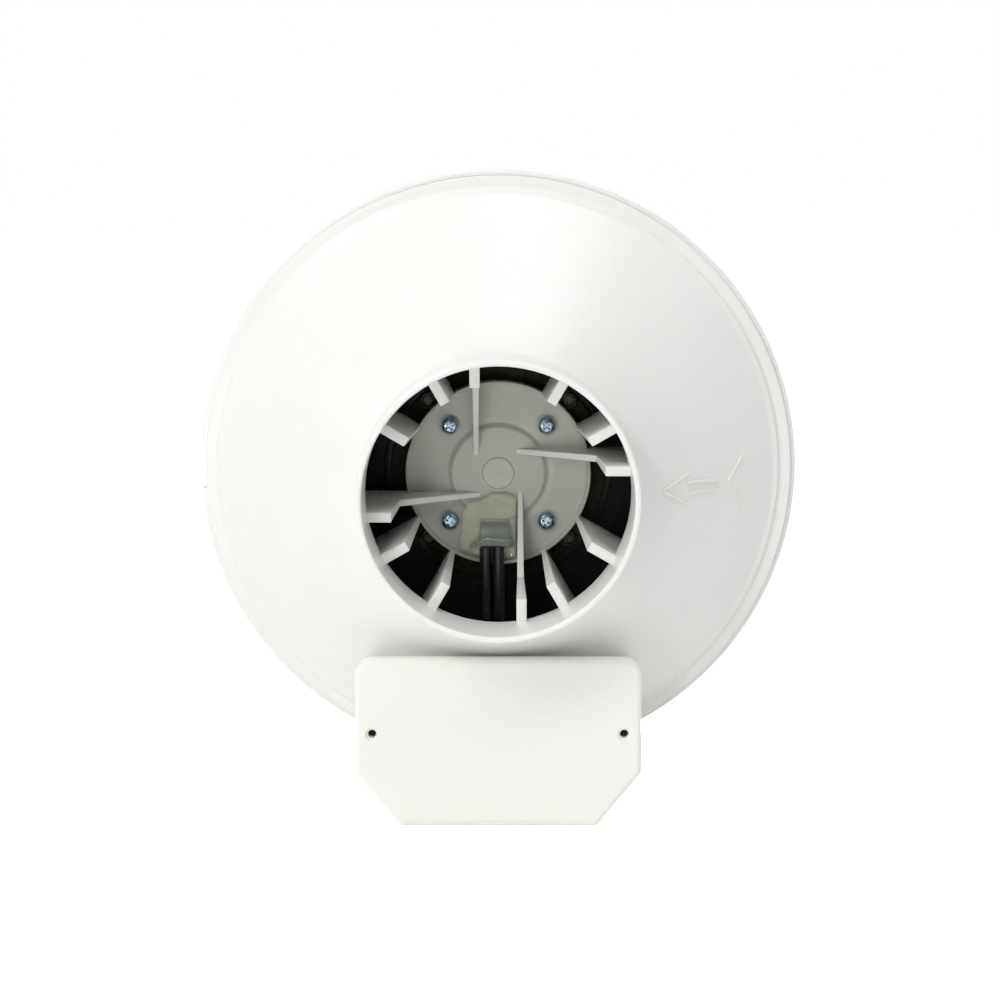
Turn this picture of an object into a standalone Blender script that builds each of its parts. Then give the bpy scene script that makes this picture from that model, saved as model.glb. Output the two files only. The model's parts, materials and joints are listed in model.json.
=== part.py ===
"""Inline duct fan: a round two-part plastic housing with a motorised centrifugal impeller inside.

Every piece is modelled about one local axis and hung from the empty "fan_frame". In local terms +Z is the
fan's axis towards the outlet, +Y is up and the origin is the centre of the joint between the two halves.
The empty turns that so that the outlet faces world -Y and up is world +Z.
"""

import math

import bmesh
import bpy
from mathutils import Matrix, Vector

MM = 0.001
GAP = 0.3 * MM  # clearance left between pieces that touch
MERGE = 0.0001  # how near the axis a profile's end closes onto it, in metres

# Housing: two halves of one shape, flanged together on the plane z = 0
HALF_DEPTH = 75.0 * MM
COLLAR_R = 50.0 * MM  # for a duct of 100 mm
COLLAR_WALL = 2.2 * MM
COLLAR_BORE = COLLAR_R - COLLAR_WALL
COLLAR_ROOT = 54.2 * MM
MOUTH_EDGE = 0.7 * MM  # chamfer on both edges of a collar's mouth
CONE_TOP_R = 52.5 * MM
CONE_TOP_Z = 51.4 * MM
CONE_FOOT_R = 105.6 * MM
CONE_FOOT_Z = 7.0 * MM
CONE_SLOPE = (CONE_TOP_Z - CONE_FOOT_Z) / (CONE_FOOT_R - CONE_TOP_R)
SHELL = 2.5 * MM
STEP_R = 108.2 * MM  # where the cone steps down to the flange's flat band
STEP_Z = 5.4 * MM
FLANGE_R = 112.9 * MM
FLANGE_Z = 4.5 * MM
FLANGE_ROUND = 1.1 * MM
JOINT = 0.5 * GAP
RIM_R = 115.0 * MM
RIM_LIP_Z = 2.4 * MM  # the inlet half's lip wraps the outlet half's flange this far
RIM_CHAMFER = 0.6 * MM
RIM_BACK_Z = 4.6 * MM
SHELL_FOOT_R = 104.0 * MM
SEAL_R = 108.3 * MM
SEAL_THICK = 1.9 * MM
SEAL_GROOVE = 2.5 * MM
NOTCH_HALF = 7.7 * MM  # the gap in the rim's lip at the left, where the halves are prised apart
NOTCH_FLOOR_X = 112.7 * MM

# Guide vanes and motor plate, moulded in one with the outlet half
VANE_FRONT = 58.0 * MM
VANE_BACK = 8.0 * MM
VANE_KNEE_R = 37.7 * MM
VANE_ROOT_R = 34.4 * MM
VANE_OUT_R = 49.0 * MM
VANE_CONE_R = 64.0 * MM
VANE_THIN = 1.75 * MM
VANE_THICK = 3.7 * MM
VANE_STEP_DEG = 30
LONG_OFFSET = 8.4 * MM  # the long vanes pass the axis at this distance, like a pinwheel
LONG_KNEE_R = 38.3 * MM
RIB_TOP_R = 36.5 * MM
RIB_TOP_Z = 30.0 * MM
RIB_TIP_R = 7.0 * MM
PLATE_R = 35.4 * MM
PLATE_Z = 12.4 * MM
PLATE_BACK = 9.0 * MM
LIP_WIDTH = 1.5 * MM
LIP_HEIGHT = 0.9 * MM
SKIRT_Z = 7.5 * MM
DISC_R = 19.0 * MM
DISC_STEP = 0.7 * MM
BOSS_R = 6.5 * MM
BOSS_HEIGHT = 0.6 * MM

# Motor: an external rotor turns about a stator that is screwed behind the plate
SCREW_XY = 18.4 * MM
SCREW_HEAD_R = 3.3 * MM
SCREW_HEAD_H = 2.3 * MM
SCREW_R = 1.5 * MM
SCREW_HOLE_R = 1.85 * MM
SCREW_END = 6.0 * MM
FLANGE_TOP = PLATE_BACK - GAP
FLANGE_UNDER = 5.5 * MM
MOTOR_FLANGE_R = 33.0 * MM
TUBE_R = 12.3 * MM
TUBE_BORE = 9.8 * MM
TUBE_END = -20.0 * MM
TUBE_SHOULDER = 3.0 * MM
TUBE_SHOULDER_R = 7.5 * MM
CORE_R = 28.3 * MM
CORE_BORE = 12.6 * MM
CORE_TOP = -1.0 * MM
CORE_END = -19.0 * MM
SLOT_COUNT = 8
SLOT_IN = 16.0 * MM
SLOT_OUT = 25.5 * MM
SLOT_WIDTH = 6.0 * MM
COIL_IN = 15.0 * MM
COIL_OUT = 27.0 * MM
COIL_TOP = 4.3 * MM
COIL_END = -24.0 * MM
COIL_ROUND = 1.8 * MM
CAN_R = 34.0 * MM
CAN_WALL = 1.7 * MM
CAN_FLANGE_R = 41.5 * MM
CAN_FLANGE_TOP = 4.5 * MM
CAN_FLANGE_UNDER = 3.0 * MM
CAN_END = -28.5 * MM
HUB_R = 9.0 * MM
HUB_TOP = -24.5 * MM
HUB_END = -31.0 * MM
CAGE_BORE = 28.9 * MM
CAGE_TOP = 1.5 * MM
CAGE_END = -22.0 * MM
SHAFT_R = 3.0 * MM
SHAFT_TOP = 4.4 * MM
SHAFT_END = -31.8 * MM
SHAFT_STEP_R = 4.0 * MM
CLIP_GROOVE_R = 2.4 * MM
CLIP_GROOVE_TOP = 3.5 * MM
CLIP_GROOVE_END = 2.4 * MM
CLIP_R = 4.6 * MM
CLIP_BORE = 2.75 * MM
CLIP_TOP = 3.2 * MM
CLIP_END = 2.7 * MM

# Ball bearings, 6 x 19 x 6 mm
RACE_OUT_R = 9.5 * MM
RACE_IN_R = 3.3 * MM
RACE_WIDTH = 6.0 * MM
LAND_OUT = 7.6 * MM
LAND_IN = 5.2 * MM
PITCH_R = 6.4 * MM
BALL_R = 1.4 * MM
GROOVE_R = 1.75 * MM
BALL_COUNT = 7
BALL_RING_HALF = 0.45 * MM
FRONT_BEARING_Z = -1.0 * MM
REAR_BEARING_Z = -16.5 * MM
WASHER_R = 9.4 * MM
WASHER_BORE = 8.1 * MM
WASHER_TOP = 2.7 * MM
WASHER_END = 2.3 * MM

# Impeller: nine backward-curved blades between a backplate and a shroud
IMPELLER_R = 78.0 * MM
BACKPLATE_BORE = 34.6 * MM
BACKPLATE_TOP = 2.7 * MM
BACKPLATE_UNDER = 0.7 * MM
BLADE_COUNT = 9
BLADE_IN_R = 50.5 * MM
BLADE_OUT_R = 77.0 * MM
BLADE_SWEEP = math.radians(52)
BLADE_THICK = 2.0 * MM
BLADE_STEPS = 6
SHROUD_RIM_Z = -18.0 * MM
SHROUD_WALL = 1.8 * MM
SHROUD_THROAT_R = 52.0 * MM
SHROUD_THROAT_Z = -31.5 * MM
NECK_R = 46.6 * MM
NECK_TOP_Z = -36.8 * MM
NECK_END_Z = -41.5 * MM
RIVET_PCR = 38.0 * MM
RIVET_R = 1.5 * MM
RIVET_HOLE_R = 1.85 * MM
RIVET_HEAD_R = 3.4 * MM
RIVET_HEAD_H = 0.9 * MM
RIVET_TAIL_R = 2.6 * MM
INLET_RING_R = 47.5 * MM
INLET_RING_BORE = 44.1 * MM
INLET_RING_WALL = 1.6 * MM

# Wiring: two sheathed leads leave the motor through a sealed sleeve and go down into the terminal box
LEAD_R = 2.3 * MM
LEAD_X = -2.4 * MM
LEAD_HALF_PITCH = 2.45 * MM
SLEEVE_HALF = 5.8 * MM
SLEEVE_X = -1.2 * MM
SLOT_CLEAR = 0.5 * MM
RESIN_TOP = 14.9 * MM
RESIN_ROUND = 0.9 * MM
GROMMET_Y = -80.0 * MM
GROMMET_HALF_X = 7.2 * MM
GROMMET_HALF_Y = 4.5 * MM
GROMMET_TOP = 35.5 * MM
GROMMET_END = 23.5 * MM

# Terminal box: hangs on the outlet half's cone, with a flat cover towards the outlet
BOX_HALF_WIDTH = 52.7 * MM
COVER_TOP_Y = -62.9 * MM
BOX_TOP_Y = -68.5 * MM  # the cover stands out over the top of the box
BOX_BOTTOM_Y = -126.0 * MM
BOX_CHAMFER_X = 16.4 * MM
BOX_CHAMFER_Y = 20.0 * MM
BOX_CORNER_R = 6.0 * MM
BOX_WALL = 2.2 * MM
COVER_FRONT = 50.0 * MM
COVER_BACK = 44.9 * MM
COVER_ROUND = 1.8 * MM
GASKET_FRONT = COVER_BACK - GAP
GASKET_BACK = 44.0 * MM
BOX_FRONT = GASKET_BACK - GAP
BOX_BACK = 7.5 * MM
COVER_SCREW_X = 46.4 * MM
COVER_SCREW_Y = -91.0 * MM
COVER_HOLE_R = 1.6 * MM
COVER_SINK_R = 2.25 * MM
COVER_SINK_DEPTH = 0.9 * MM
COVER_SCREW_HEAD_R = 1.3 * MM
COVER_SCREW_R = 0.9 * MM
COVER_SCREW_TOP = 47.2 * MM
COVER_SCREW_END = 32.0 * MM
PILLAR_R = 3.2 * MM
ENTRY_X = -22.0 * MM
ENTRY_Z = 26.0 * MM
ENTRY_R = 10.0 * MM
ENTRY_FLANGE_R = 11.8 * MM
CAPACITOR_R = 10.5 * MM
CAPACITOR_X = (7.0 * MM, 36.0 * MM)
CAPACITOR_Y = -110.5 * MM
CAPACITOR_Z = 23.0 * MM
BLOCK_X = (-38.0 * MM, -8.0 * MM)
BLOCK_Y = (-108.0 * MM, -92.0 * MM)
BLOCK_Z = (22.5 * MM, 34.0 * MM)

ROUND = 48  # facets round the housing and the impeller
ROUND_FINE = 96  # for the rim, so that its extent stays true beside the notch
MEDIUM = 32
SMALL = 12

COLOURS = {
    "white_plastic": ((0.86, 0.87, 0.85), 0.25, 0.0),
    "box_plastic": ((0.80, 0.81, 0.78), 0.35, 0.0),
    "black_plastic": ((0.015, 0.015, 0.017), 0.4, 0.0),
    "black_rubber": ((0.02, 0.02, 0.022), 0.7, 0.0),
    "grey_rubber": ((0.30, 0.31, 0.31), 0.7, 0.0),
    "sleeve_plastic": ((0.45, 0.50, 0.50), 0.4, 0.0),
    "resin": ((0.68, 0.68, 0.50), 0.1, 0.0),
    "rotor_steel": ((0.09, 0.075, 0.05), 0.55, 0.9),
    "bright_steel": ((0.62, 0.66, 0.70), 0.25, 1.0),
    "motor_aluminium": ((0.65, 0.66, 0.66), 0.45, 0.9),
    "core_steel": ((0.32, 0.32, 0.33), 0.5, 0.9),
    "copper_winding": ((0.62, 0.27, 0.10), 0.35, 0.9),
    "zinc_screw": ((0.55, 0.63, 0.68), 0.22, 1.0),
    "capacitor_plastic": ((0.78, 0.79, 0.76), 0.4, 0.0),
    "terminal_plastic": ((0.72, 0.70, 0.60), 0.4, 0.0),
}


# ---------------------------------------------------------------- helpers


def clear_scene():
    for obj in list(bpy.data.objects):
        bpy.data.objects.remove(obj, do_unlink=True)


def new_collection(name):
    collection = bpy.data.collections.new(name)
    bpy.context.scene.collection.children.link(collection)
    return collection


def material(name):
    found = bpy.data.materials.get(name)
    if found:
        return found
    colour, roughness, metallic = COLOURS[name]
    made = bpy.data.materials.new(name)
    made.use_nodes = True
    shader = made.node_tree.nodes["Principled BSDF"]
    shader.inputs["Base Color"].default_value = (*colour, 1.0)
    shader.inputs["Roughness"].default_value = roughness
    shader.inputs["Metallic"].default_value = metallic
    return made


def new_axis(name, parent=None):
    """An empty on the fan's axis, which the pieces that turn together hang from."""
    axis = bpy.data.objects.new(name, None)
    axis.empty_display_size = HALF_DEPTH
    axis.parent = parent
    PART.objects.link(axis)
    return axis


def smooth(mesh):
    mesh.shade_smooth()
    mesh.set_sharp_from_angle(angle=math.radians(30))


def piece(name, mesh, material_name, parent):
    """A finished sub-part in the object's own collection."""
    smooth(mesh)
    mesh.materials.append(material(material_name))
    obj = bpy.data.objects.new(name, mesh)
    PART.objects.link(obj)
    obj.parent = parent
    return obj


def tool(name, mesh, parent):
    """A helper for a Boolean, left out of the object."""
    obj = bpy.data.objects.new(name, mesh)
    TOOLS.objects.link(obj)
    obj.parent = parent
    obj.hide_render = True
    obj.display_type = "WIRE"
    return obj


def cut(obj, cutter, operation="DIFFERENCE"):
    modifier = obj.modifiers.new(cutter.name, "BOOLEAN")
    modifier.operation = operation
    modifier.solver = "EXACT"
    modifier.object = cutter


def add(obj, other):
    cut(obj, other, "UNION")


def mesh_of(bm, name):
    mesh = bpy.data.meshes.new(name)
    bm.to_mesh(mesh)
    bm.free()
    return mesh


def profile_mesh(name, points, closed):
    """A line of (radius, height) points, ready to be turned about Z."""
    bm = bmesh.new()
    verts = [bm.verts.new((r, 0.0, z)) for r, z in points]
    for first, second in zip(verts, verts[1:]):
        bm.edges.new((first, second))
    if closed:
        bm.edges.new((verts[-1], verts[0]))
    return mesh_of(bm, name)


def turn(obj, steps):
    modifier = obj.modifiers.new("Turn", "SCREW")
    modifier.axis = "Z"
    modifier.angle = math.tau
    modifier.steps = steps
    modifier.render_steps = steps
    modifier.use_merge_vertices = True
    modifier.merge_threshold = MERGE
    return obj


def lathe(name, points, steps, material_name, parent, closed=True):
    return turn(piece(name, profile_mesh(name, points, closed), material_name, parent), steps)


def lathe_tool(name, points, steps, parent, closed=True):
    return turn(tool(name, profile_mesh(name, points, closed), parent), steps)


def box_mesh(name, low, high):
    size = [b - a for a, b in zip(low, high)]
    centre = [(a + b) / 2 for a, b in zip(low, high)]
    bm = bmesh.new()
    bmesh.ops.create_cube(bm, size=1.0)
    bmesh.ops.scale(bm, vec=size, verts=bm.verts)
    bmesh.ops.translate(bm, vec=centre, verts=bm.verts)
    return mesh_of(bm, name)


def rod_mesh(name, radius, start, end, sides):
    """A plain cylinder between two points."""
    start, end = Vector(start), Vector(end)
    along = end - start
    bm = bmesh.new()
    bmesh.ops.create_cone(
        bm, cap_ends=True, segments=sides, radius1=radius, radius2=radius, depth=along.length
    )
    turned = along.to_track_quat("Z", "Y").to_matrix().to_4x4()
    bmesh.ops.transform(bm, matrix=Matrix.Translation((start + end) / 2) @ turned, verts=bm.verts)
    return mesh_of(bm, name)


def prism_mesh(name, outline, low, high):
    """A flat outline of (x, y) points made solid from height low to height high."""
    bm = bmesh.new()
    face = bm.faces.new([bm.verts.new((x, y, low)) for x, y in outline])
    extruded = bmesh.ops.extrude_face_region(bm, geom=[face])
    moved = [item for item in extruded["geom"] if isinstance(item, bmesh.types.BMVert)]
    bmesh.ops.translate(bm, vec=(0.0, 0.0, high - low), verts=moved)
    bmesh.ops.recalc_face_normals(bm, faces=bm.faces)
    return mesh_of(bm, name)


def bevel_front(obj, width, height, segments=2):
    """Rounds only the outline's edges at one height."""
    bm = bmesh.new()
    bm.from_mesh(obj.data)
    tolerance = MERGE
    edges = [e for e in bm.edges if all(abs(v.co.z - height) < tolerance for v in e.verts)]
    bmesh.ops.bevel(
        bm, geom=edges, offset=width, segments=segments, affect="EDGES", profile=0.5, material=-1
    )
    bm.to_mesh(obj.data)
    bm.free()


def arc(centre, radius, start, end, steps):
    """Points round a circle, from one angle in degrees to another."""
    angles = [math.radians(start + (end - start) * i / steps) for i in range(steps + 1)]
    return [(centre[0] + radius * math.cos(a), centre[1] + radius * math.sin(a)) for a in angles]


def smooth_route(points, per_span):
    """Points along a smooth curve that passes through every given point."""
    pts = [Vector(p) for p in points]
    padded = [2 * pts[0] - pts[1], *pts, 2 * pts[-1] - pts[-2]]
    found = []
    for before, start, end, after in zip(padded, padded[1:], padded[2:], padded[3:]):
        for i in range(per_span):
            t = i / per_span
            pull = (end - before) * t + (2 * before - 5 * start + 4 * end - after) * t**2
            bend = (3 * start - before - 3 * end + after) * t**3
            found.append(start + (pull + bend) / 2)
    return [*found, pts[-1]]


def tube(name, points, radius, material_name, parent):
    """A round lead or cord along a line of points."""
    curve = bpy.data.curves.new(name, "CURVE")
    curve.dimensions = "3D"
    curve.bevel_depth = radius
    curve.bevel_resolution = 2
    curve.use_fill_caps = True
    spline = curve.splines.new("POLY")
    spline.points.add(len(points) - 1)
    for slot, point in zip(spline.points, points):
        slot.co = (*point, 1.0)
    curve.materials.append(material(material_name))
    obj = bpy.data.objects.new(name, curve)
    PART.objects.link(obj)
    obj.parent = parent
    return obj


# ---------------------------------------------------------------- housing


def cone_z(radius, out=0.0):
    """Height of the cone's outer face at a radius, moved outwards by a distance square to it."""
    lean = math.hypot(1.0, CONE_SLOPE)
    return CONE_TOP_Z - CONE_SLOPE * (radius - CONE_TOP_R) + out * lean


def outer_wall():
    """The housing's outer face from the collar's mouth to the cone's foot."""
    fillet_r = (COLLAR_R + CONE_TOP_R) / 2 - 0.5 * MM
    return [
        (COLLAR_BORE + MOUTH_EDGE, HALF_DEPTH),
        (COLLAR_R - MOUTH_EDGE, HALF_DEPTH),
        (COLLAR_R, HALF_DEPTH - MOUTH_EDGE),
        (COLLAR_R, COLLAR_ROOT),
        (fillet_r, CONE_TOP_Z + 1.1 * MM),
        (CONE_TOP_R, CONE_TOP_Z),
        (CONE_FOOT_R, CONE_FOOT_Z),
    ]


def inner_wall():
    """The housing's inner face from the flange to the collar's mouth."""
    return [
        (SHELL_FOOT_R, JOINT),
        (SHELL_FOOT_R, cone_z(SHELL_FOOT_R, -SHELL)),
        (CONE_TOP_R - SHELL / 2, cone_z(CONE_TOP_R - SHELL / 2, -SHELL)),
        (COLLAR_BORE, COLLAR_ROOT - 2.0 * MM),
        (COLLAR_BORE, HALF_DEPTH - MOUTH_EDGE),
    ]


def outlet_flange():
    """The band outside the cone, and the joint face with the seal's groove."""
    groove_out = SEAL_R + SEAL_GROOVE / 2
    groove_in = SEAL_R - SEAL_GROOVE / 2
    return [
        (STEP_R, STEP_Z),
        (FLANGE_R - FLANGE_ROUND, FLANGE_Z),
        (FLANGE_R, FLANGE_Z - FLANGE_ROUND),
        (FLANGE_R, JOINT),
        (groove_out, JOINT),
        (groove_out, JOINT + SEAL_GROOVE - GAP),
        (groove_in, JOINT + SEAL_GROOVE - GAP),
        (groove_in, JOINT),
    ]


def vane_outline():
    """A short vane's side in (radius, height)."""
    return [
        (VANE_ROOT_R, VANE_BACK),
        (VANE_CONE_R, VANE_BACK),
        (VANE_CONE_R, cone_z(VANE_CONE_R, -SHELL / 2)),
        (CONE_TOP_R - SHELL / 2, cone_z(CONE_TOP_R, -SHELL / 2)),
        (VANE_OUT_R, COLLAR_ROOT),
        (VANE_OUT_R, VANE_FRONT),
        (VANE_KNEE_R, VANE_FRONT),
        (VANE_ROOT_R, PLATE_Z),
    ]


def long_vane_outline():
    """A long vane's side, with the rib that slopes down onto the motor plate."""
    side = vane_outline()[1:-2]
    side[0] = (VANE_CONE_R - MM, VANE_BACK)
    side[1] = (VANE_CONE_R - MM, cone_z(VANE_CONE_R, -SHELL / 2))
    inside_plate = (PLATE_Z + PLATE_BACK) / 2
    rib = [
        (LONG_KNEE_R, VANE_FRONT),
        (RIB_TOP_R, RIB_TOP_Z),
        (RIB_TIP_R, PLATE_Z + 0.2 * MM),
        (RIB_TIP_R, inside_plate),
        (VANE_ROOT_R, inside_plate),
        (VANE_ROOT_R, VANE_BACK),
    ]
    return side + rib


def vane_half_thickness(height):
    share = (height - VANE_BACK) / (VANE_FRONT - VANE_BACK)
    return (VANE_THIN + (VANE_THICK - VANE_THIN) * share) / 2


def vane_mesh(name, outline, angle, offset):
    """A vane stood on its outline, thicker at the front, then turned to its place round the axis."""
    bm = bmesh.new()
    face = bm.faces.new([bm.verts.new((r, -vane_half_thickness(z), z)) for r, z in outline])
    extruded = bmesh.ops.extrude_face_region(bm, geom=[face])
    for item in extruded["geom"]:
        if isinstance(item, bmesh.types.BMVert):
            item.co.y = vane_half_thickness(item.co.z)
    bmesh.ops.recalc_face_normals(bm, faces=bm.faces)
    bmesh.ops.translate(bm, vec=(0.0, offset, 0.0), verts=bm.verts)
    bmesh.ops.rotate(bm, cent=(0, 0, 0), matrix=Matrix.Rotation(angle, 3, "Z"), verts=bm.verts)
    return mesh_of(bm, name)


def plate_profile():
    lip_r = PLATE_R - LIP_WIDTH
    return [
        (0.0, PLATE_Z + BOSS_HEIGHT),
        (BOSS_R - BOSS_HEIGHT, PLATE_Z + BOSS_HEIGHT),
        (BOSS_R, PLATE_Z),
        (DISC_R - DISC_STEP, PLATE_Z),
        (DISC_R, PLATE_Z - DISC_STEP),
        (DISC_R + DISC_STEP, PLATE_Z - DISC_STEP / 2),
        (lip_r, PLATE_Z - DISC_STEP / 2),
        (lip_r + 0.2 * MM, PLATE_Z + LIP_HEIGHT),
        (PLATE_R, PLATE_Z + LIP_HEIGHT),
        (PLATE_R, SKIRT_Z),
        (PLATE_R - LIP_WIDTH, SKIRT_Z),
        (PLATE_R - LIP_WIDTH, PLATE_BACK),
        (0.0, PLATE_BACK),
    ]


def oblong(centre_y, half_x, half_y, grow=0.0):
    """A slot's outline with round ends."""
    radius = half_y + grow
    reach = half_x - half_y
    right = arc((LEAD_X + reach, centre_y), radius, -90, 90, 5)
    left = arc((LEAD_X - reach, centre_y), radius, 90, 270, 5)
    return right + left


def add_vanes(housing, frame):
    for angle in range(0, 360, VANE_STEP_DEG):
        is_long = angle % 90 == 0
        outline = long_vane_outline() if is_long else vane_outline()
        offset = LONG_OFFSET if is_long else 0.0
        name = f"vane_{angle}"
        add(housing, tool(name, vane_mesh(name, outline, math.radians(angle), offset), frame))


def sleeve_slot(frame, name):
    """The passage of the leads through the motor plate and the motor's flange."""
    low = (SLEEVE_X - SLEEVE_HALF - SLOT_CLEAR, -19.6 * MM - SLOT_CLEAR, 0.0)
    high = (SLEEVE_X + SLEEVE_HALF + SLOT_CLEAR, -15.6 * MM + SLOT_CLEAR, PLATE_Z + 5 * MM)
    return tool(name, box_mesh(name, low, high), frame)


def screw_places():
    return [(sx * SCREW_XY, sy * SCREW_XY) for sx in (-1, 1) for sy in (-1, 1)]


def cut_screw_holes(obj, frame, name):
    for i, (x, y) in enumerate(screw_places()):
        hole = rod_mesh(f"{name}_{i}", SCREW_HOLE_R, (x, y, 0.0), (x, y, PLATE_Z + MM), SMALL)
        cut(obj, tool(f"{name}_{i}", hole, frame))


def grommet_passage(frame, name):
    outline = oblong(GROMMET_Y, GROMMET_HALF_X, GROMMET_HALF_Y, GAP)
    low = GROMMET_END - MM
    return tool(name, prism_mesh(name, outline, low, GROMMET_TOP + MM), frame)


def build_outlet_housing(frame):
    points = outer_wall() + outlet_flange() + inner_wall()
    housing = lathe("outlet_housing", points, ROUND, "white_plastic", frame)
    add(housing, lathe_tool("motor_plate", plate_profile(), ROUND, frame, closed=False))
    add_vanes(housing, frame)
    cut_screw_holes(housing, frame, "plate_hole")
    cut(housing, sleeve_slot(frame, "plate_slot"))
    cut(housing, grommet_passage(frame, "housing_passage"))


def build_inlet_housing(frame):
    lip_bore = FLANGE_R + GAP
    lip = [
        (lip_bore, RIM_LIP_Z),
        (RIM_R - RIM_CHAMFER, RIM_LIP_Z),
        (RIM_R, RIM_LIP_Z - RIM_CHAMFER),
        (RIM_R, -RIM_BACK_Z),
        (RIM_R - FLANGE_ROUND, -RIM_BACK_Z - FLANGE_ROUND),
    ]
    outside = [(r, -z) for r, z in reversed(outer_wall())]
    inside = [(r, -z) for r, z in reversed(inner_wall())]
    points = lip + outside + inside + [(lip_bore, -JOINT)]
    housing = lathe("inlet_housing", points, ROUND_FINE, "white_plastic", frame)
    low = (-RIM_R - MM, -NOTCH_HALF, -2 * RIM_BACK_Z)
    high = (-NOTCH_FLOOR_X, NOTCH_HALF, RIM_LIP_Z + MM)
    cut(housing, tool("rim_notch", box_mesh("rim_notch", low, high), frame))


def build_housing_seal(frame):
    radius = SEAL_THICK / 2
    centre = (SEAL_R, JOINT + radius)
    points = [(r, z) for r, z in reversed(arc(centre, radius, 0, 300, 5))]
    lathe("housing_seal", points, ROUND, "grey_rubber", frame)


def build_inlet_ring(frame):
    """The short bell mouth that leads air from the inlet collar into the impeller's eye."""
    out = INLET_RING_BORE + INLET_RING_WALL
    throat_z = -46.5 * MM
    flare_z = -50.8 * MM
    points = [
        (out, -38.5 * MM),
        (out, throat_z),
        (INLET_RING_R, flare_z),
        (INLET_RING_R, -60.0 * MM),
        (INLET_RING_R - INLET_RING_WALL, -60.0 * MM),
        (INLET_RING_R - INLET_RING_WALL, flare_z - MM),
        (INLET_RING_BORE, throat_z),
        (INLET_RING_BORE, -38.5 * MM),
    ]
    lathe("inlet_ring", points, MEDIUM, "white_plastic", frame)


# ---------------------------------------------------------------- impeller


def blade_outline(start):
    """A backward-curved blade: its line swings back as it goes out, and it is thickened to both sides."""
    line = []
    for i in range(BLADE_STEPS + 1):
        share = i / BLADE_STEPS
        radius = BLADE_IN_R + (BLADE_OUT_R - BLADE_IN_R) * share
        angle = start - BLADE_SWEEP * share
        line.append(Vector((radius * math.cos(angle), radius * math.sin(angle))))
    sides = ([], [])
    for i, point in enumerate(line):
        ahead = line[min(i + 1, BLADE_STEPS)] - line[max(i - 1, 0)]
        across = Vector((-ahead.y, ahead.x)).normalized() * BLADE_THICK / 2
        sides[0].append(tuple(point + across))
        sides[1].append(tuple(point - across))
    return sides[0] + sides[1][::-1]


def shroud_inner():
    """The shroud's face towards the blades, from its rim to its neck."""
    return [
        (IMPELLER_R, SHROUD_RIM_Z),
        (SHROUD_THROAT_R, SHROUD_THROAT_Z),
        (NECK_R + 0.6 * MM, NECK_TOP_Z),
        (NECK_R, NECK_END_Z),
    ]


def blade_trimmer(parent):
    """Everything on the inlet side of the shroud's inner face, less the working gap."""
    inner = [(r, z + GAP) for r, z in shroud_inner()]
    rim = (IMPELLER_R + 5 * MM, inner[0][1] + 5 * MM * 0.5)
    below = [(IMPELLER_R + 5 * MM, 2 * NECK_END_Z), (NECK_R, 2 * NECK_END_Z)]
    return lathe_tool("blade_trimmer", [rim, *below, *reversed(inner)], ROUND, parent)


def cut_rivet_holes(obj, parent, name):
    for i in range(4):
        angle = math.radians(45 + 90 * i)
        x, y = RIVET_PCR * math.cos(angle), RIVET_PCR * math.sin(angle)
        hole = rod_mesh(f"{name}_{i}", RIVET_HOLE_R, (x, y, -MM), (x, y, 2 * CAN_FLANGE_TOP), SMALL)
        cut(obj, tool(f"{name}_{i}", hole, parent))


def build_backplate(rotor):
    points = [
        (IMPELLER_R, BACKPLATE_TOP),
        (IMPELLER_R, BACKPLATE_UNDER),
        (BACKPLATE_BORE, BACKPLATE_UNDER),
        (BACKPLATE_BORE, BACKPLATE_TOP),
    ]
    plate = lathe("impeller_backplate", points, ROUND, "black_plastic", rotor)
    trimmer = blade_trimmer(rotor)
    for i in range(BLADE_COUNT):
        name = f"blade_{i}"
        outline = blade_outline(math.tau * i / BLADE_COUNT)
        top = (BACKPLATE_TOP + BACKPLATE_UNDER) / 2
        blade = tool(name, prism_mesh(name, outline, NECK_TOP_Z, top), rotor)
        cut(blade, trimmer)
        add(plate, blade)
    cut_rivet_holes(plate, rotor, "backplate_hole")


def build_shroud(rotor):
    inner = shroud_inner()
    lean = SHROUD_WALL * 1.1
    outside = [
        (IMPELLER_R, SHROUD_RIM_Z - lean),
        (SHROUD_THROAT_R + MM, SHROUD_THROAT_Z - lean),
        (NECK_R + SHROUD_WALL + MM, NECK_TOP_Z - MM),
        (NECK_R + SHROUD_WALL, NECK_END_Z),
    ]
    lathe("impeller_shroud", outside + inner[::-1], ROUND, "black_plastic", rotor)


def build_rivets(rotor):
    top = CAN_FLANGE_TOP + GAP
    tail = BACKPLATE_UNDER - GAP
    points = [
        (0.0, top + RIVET_HEAD_H),
        (RIVET_HEAD_R - RIVET_HEAD_H, top + RIVET_HEAD_H),
        (RIVET_HEAD_R, top),
        (RIVET_R, top),
        (RIVET_R, tail),
        (RIVET_TAIL_R, tail),
        (RIVET_TAIL_R - RIVET_HEAD_H / 2, tail - RIVET_HEAD_H),
        (0.0, tail - RIVET_HEAD_H),
    ]
    for i in range(4):
        angle = math.radians(45 + 90 * i)
        rivet = lathe(f"impeller_rivet_{i + 1}", points, SMALL, "rotor_steel", rotor, closed=False)
        rivet.location = (RIVET_PCR * math.cos(angle), RIVET_PCR * math.sin(angle), 0.0)


# ---------------------------------------------------------------- motor


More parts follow.
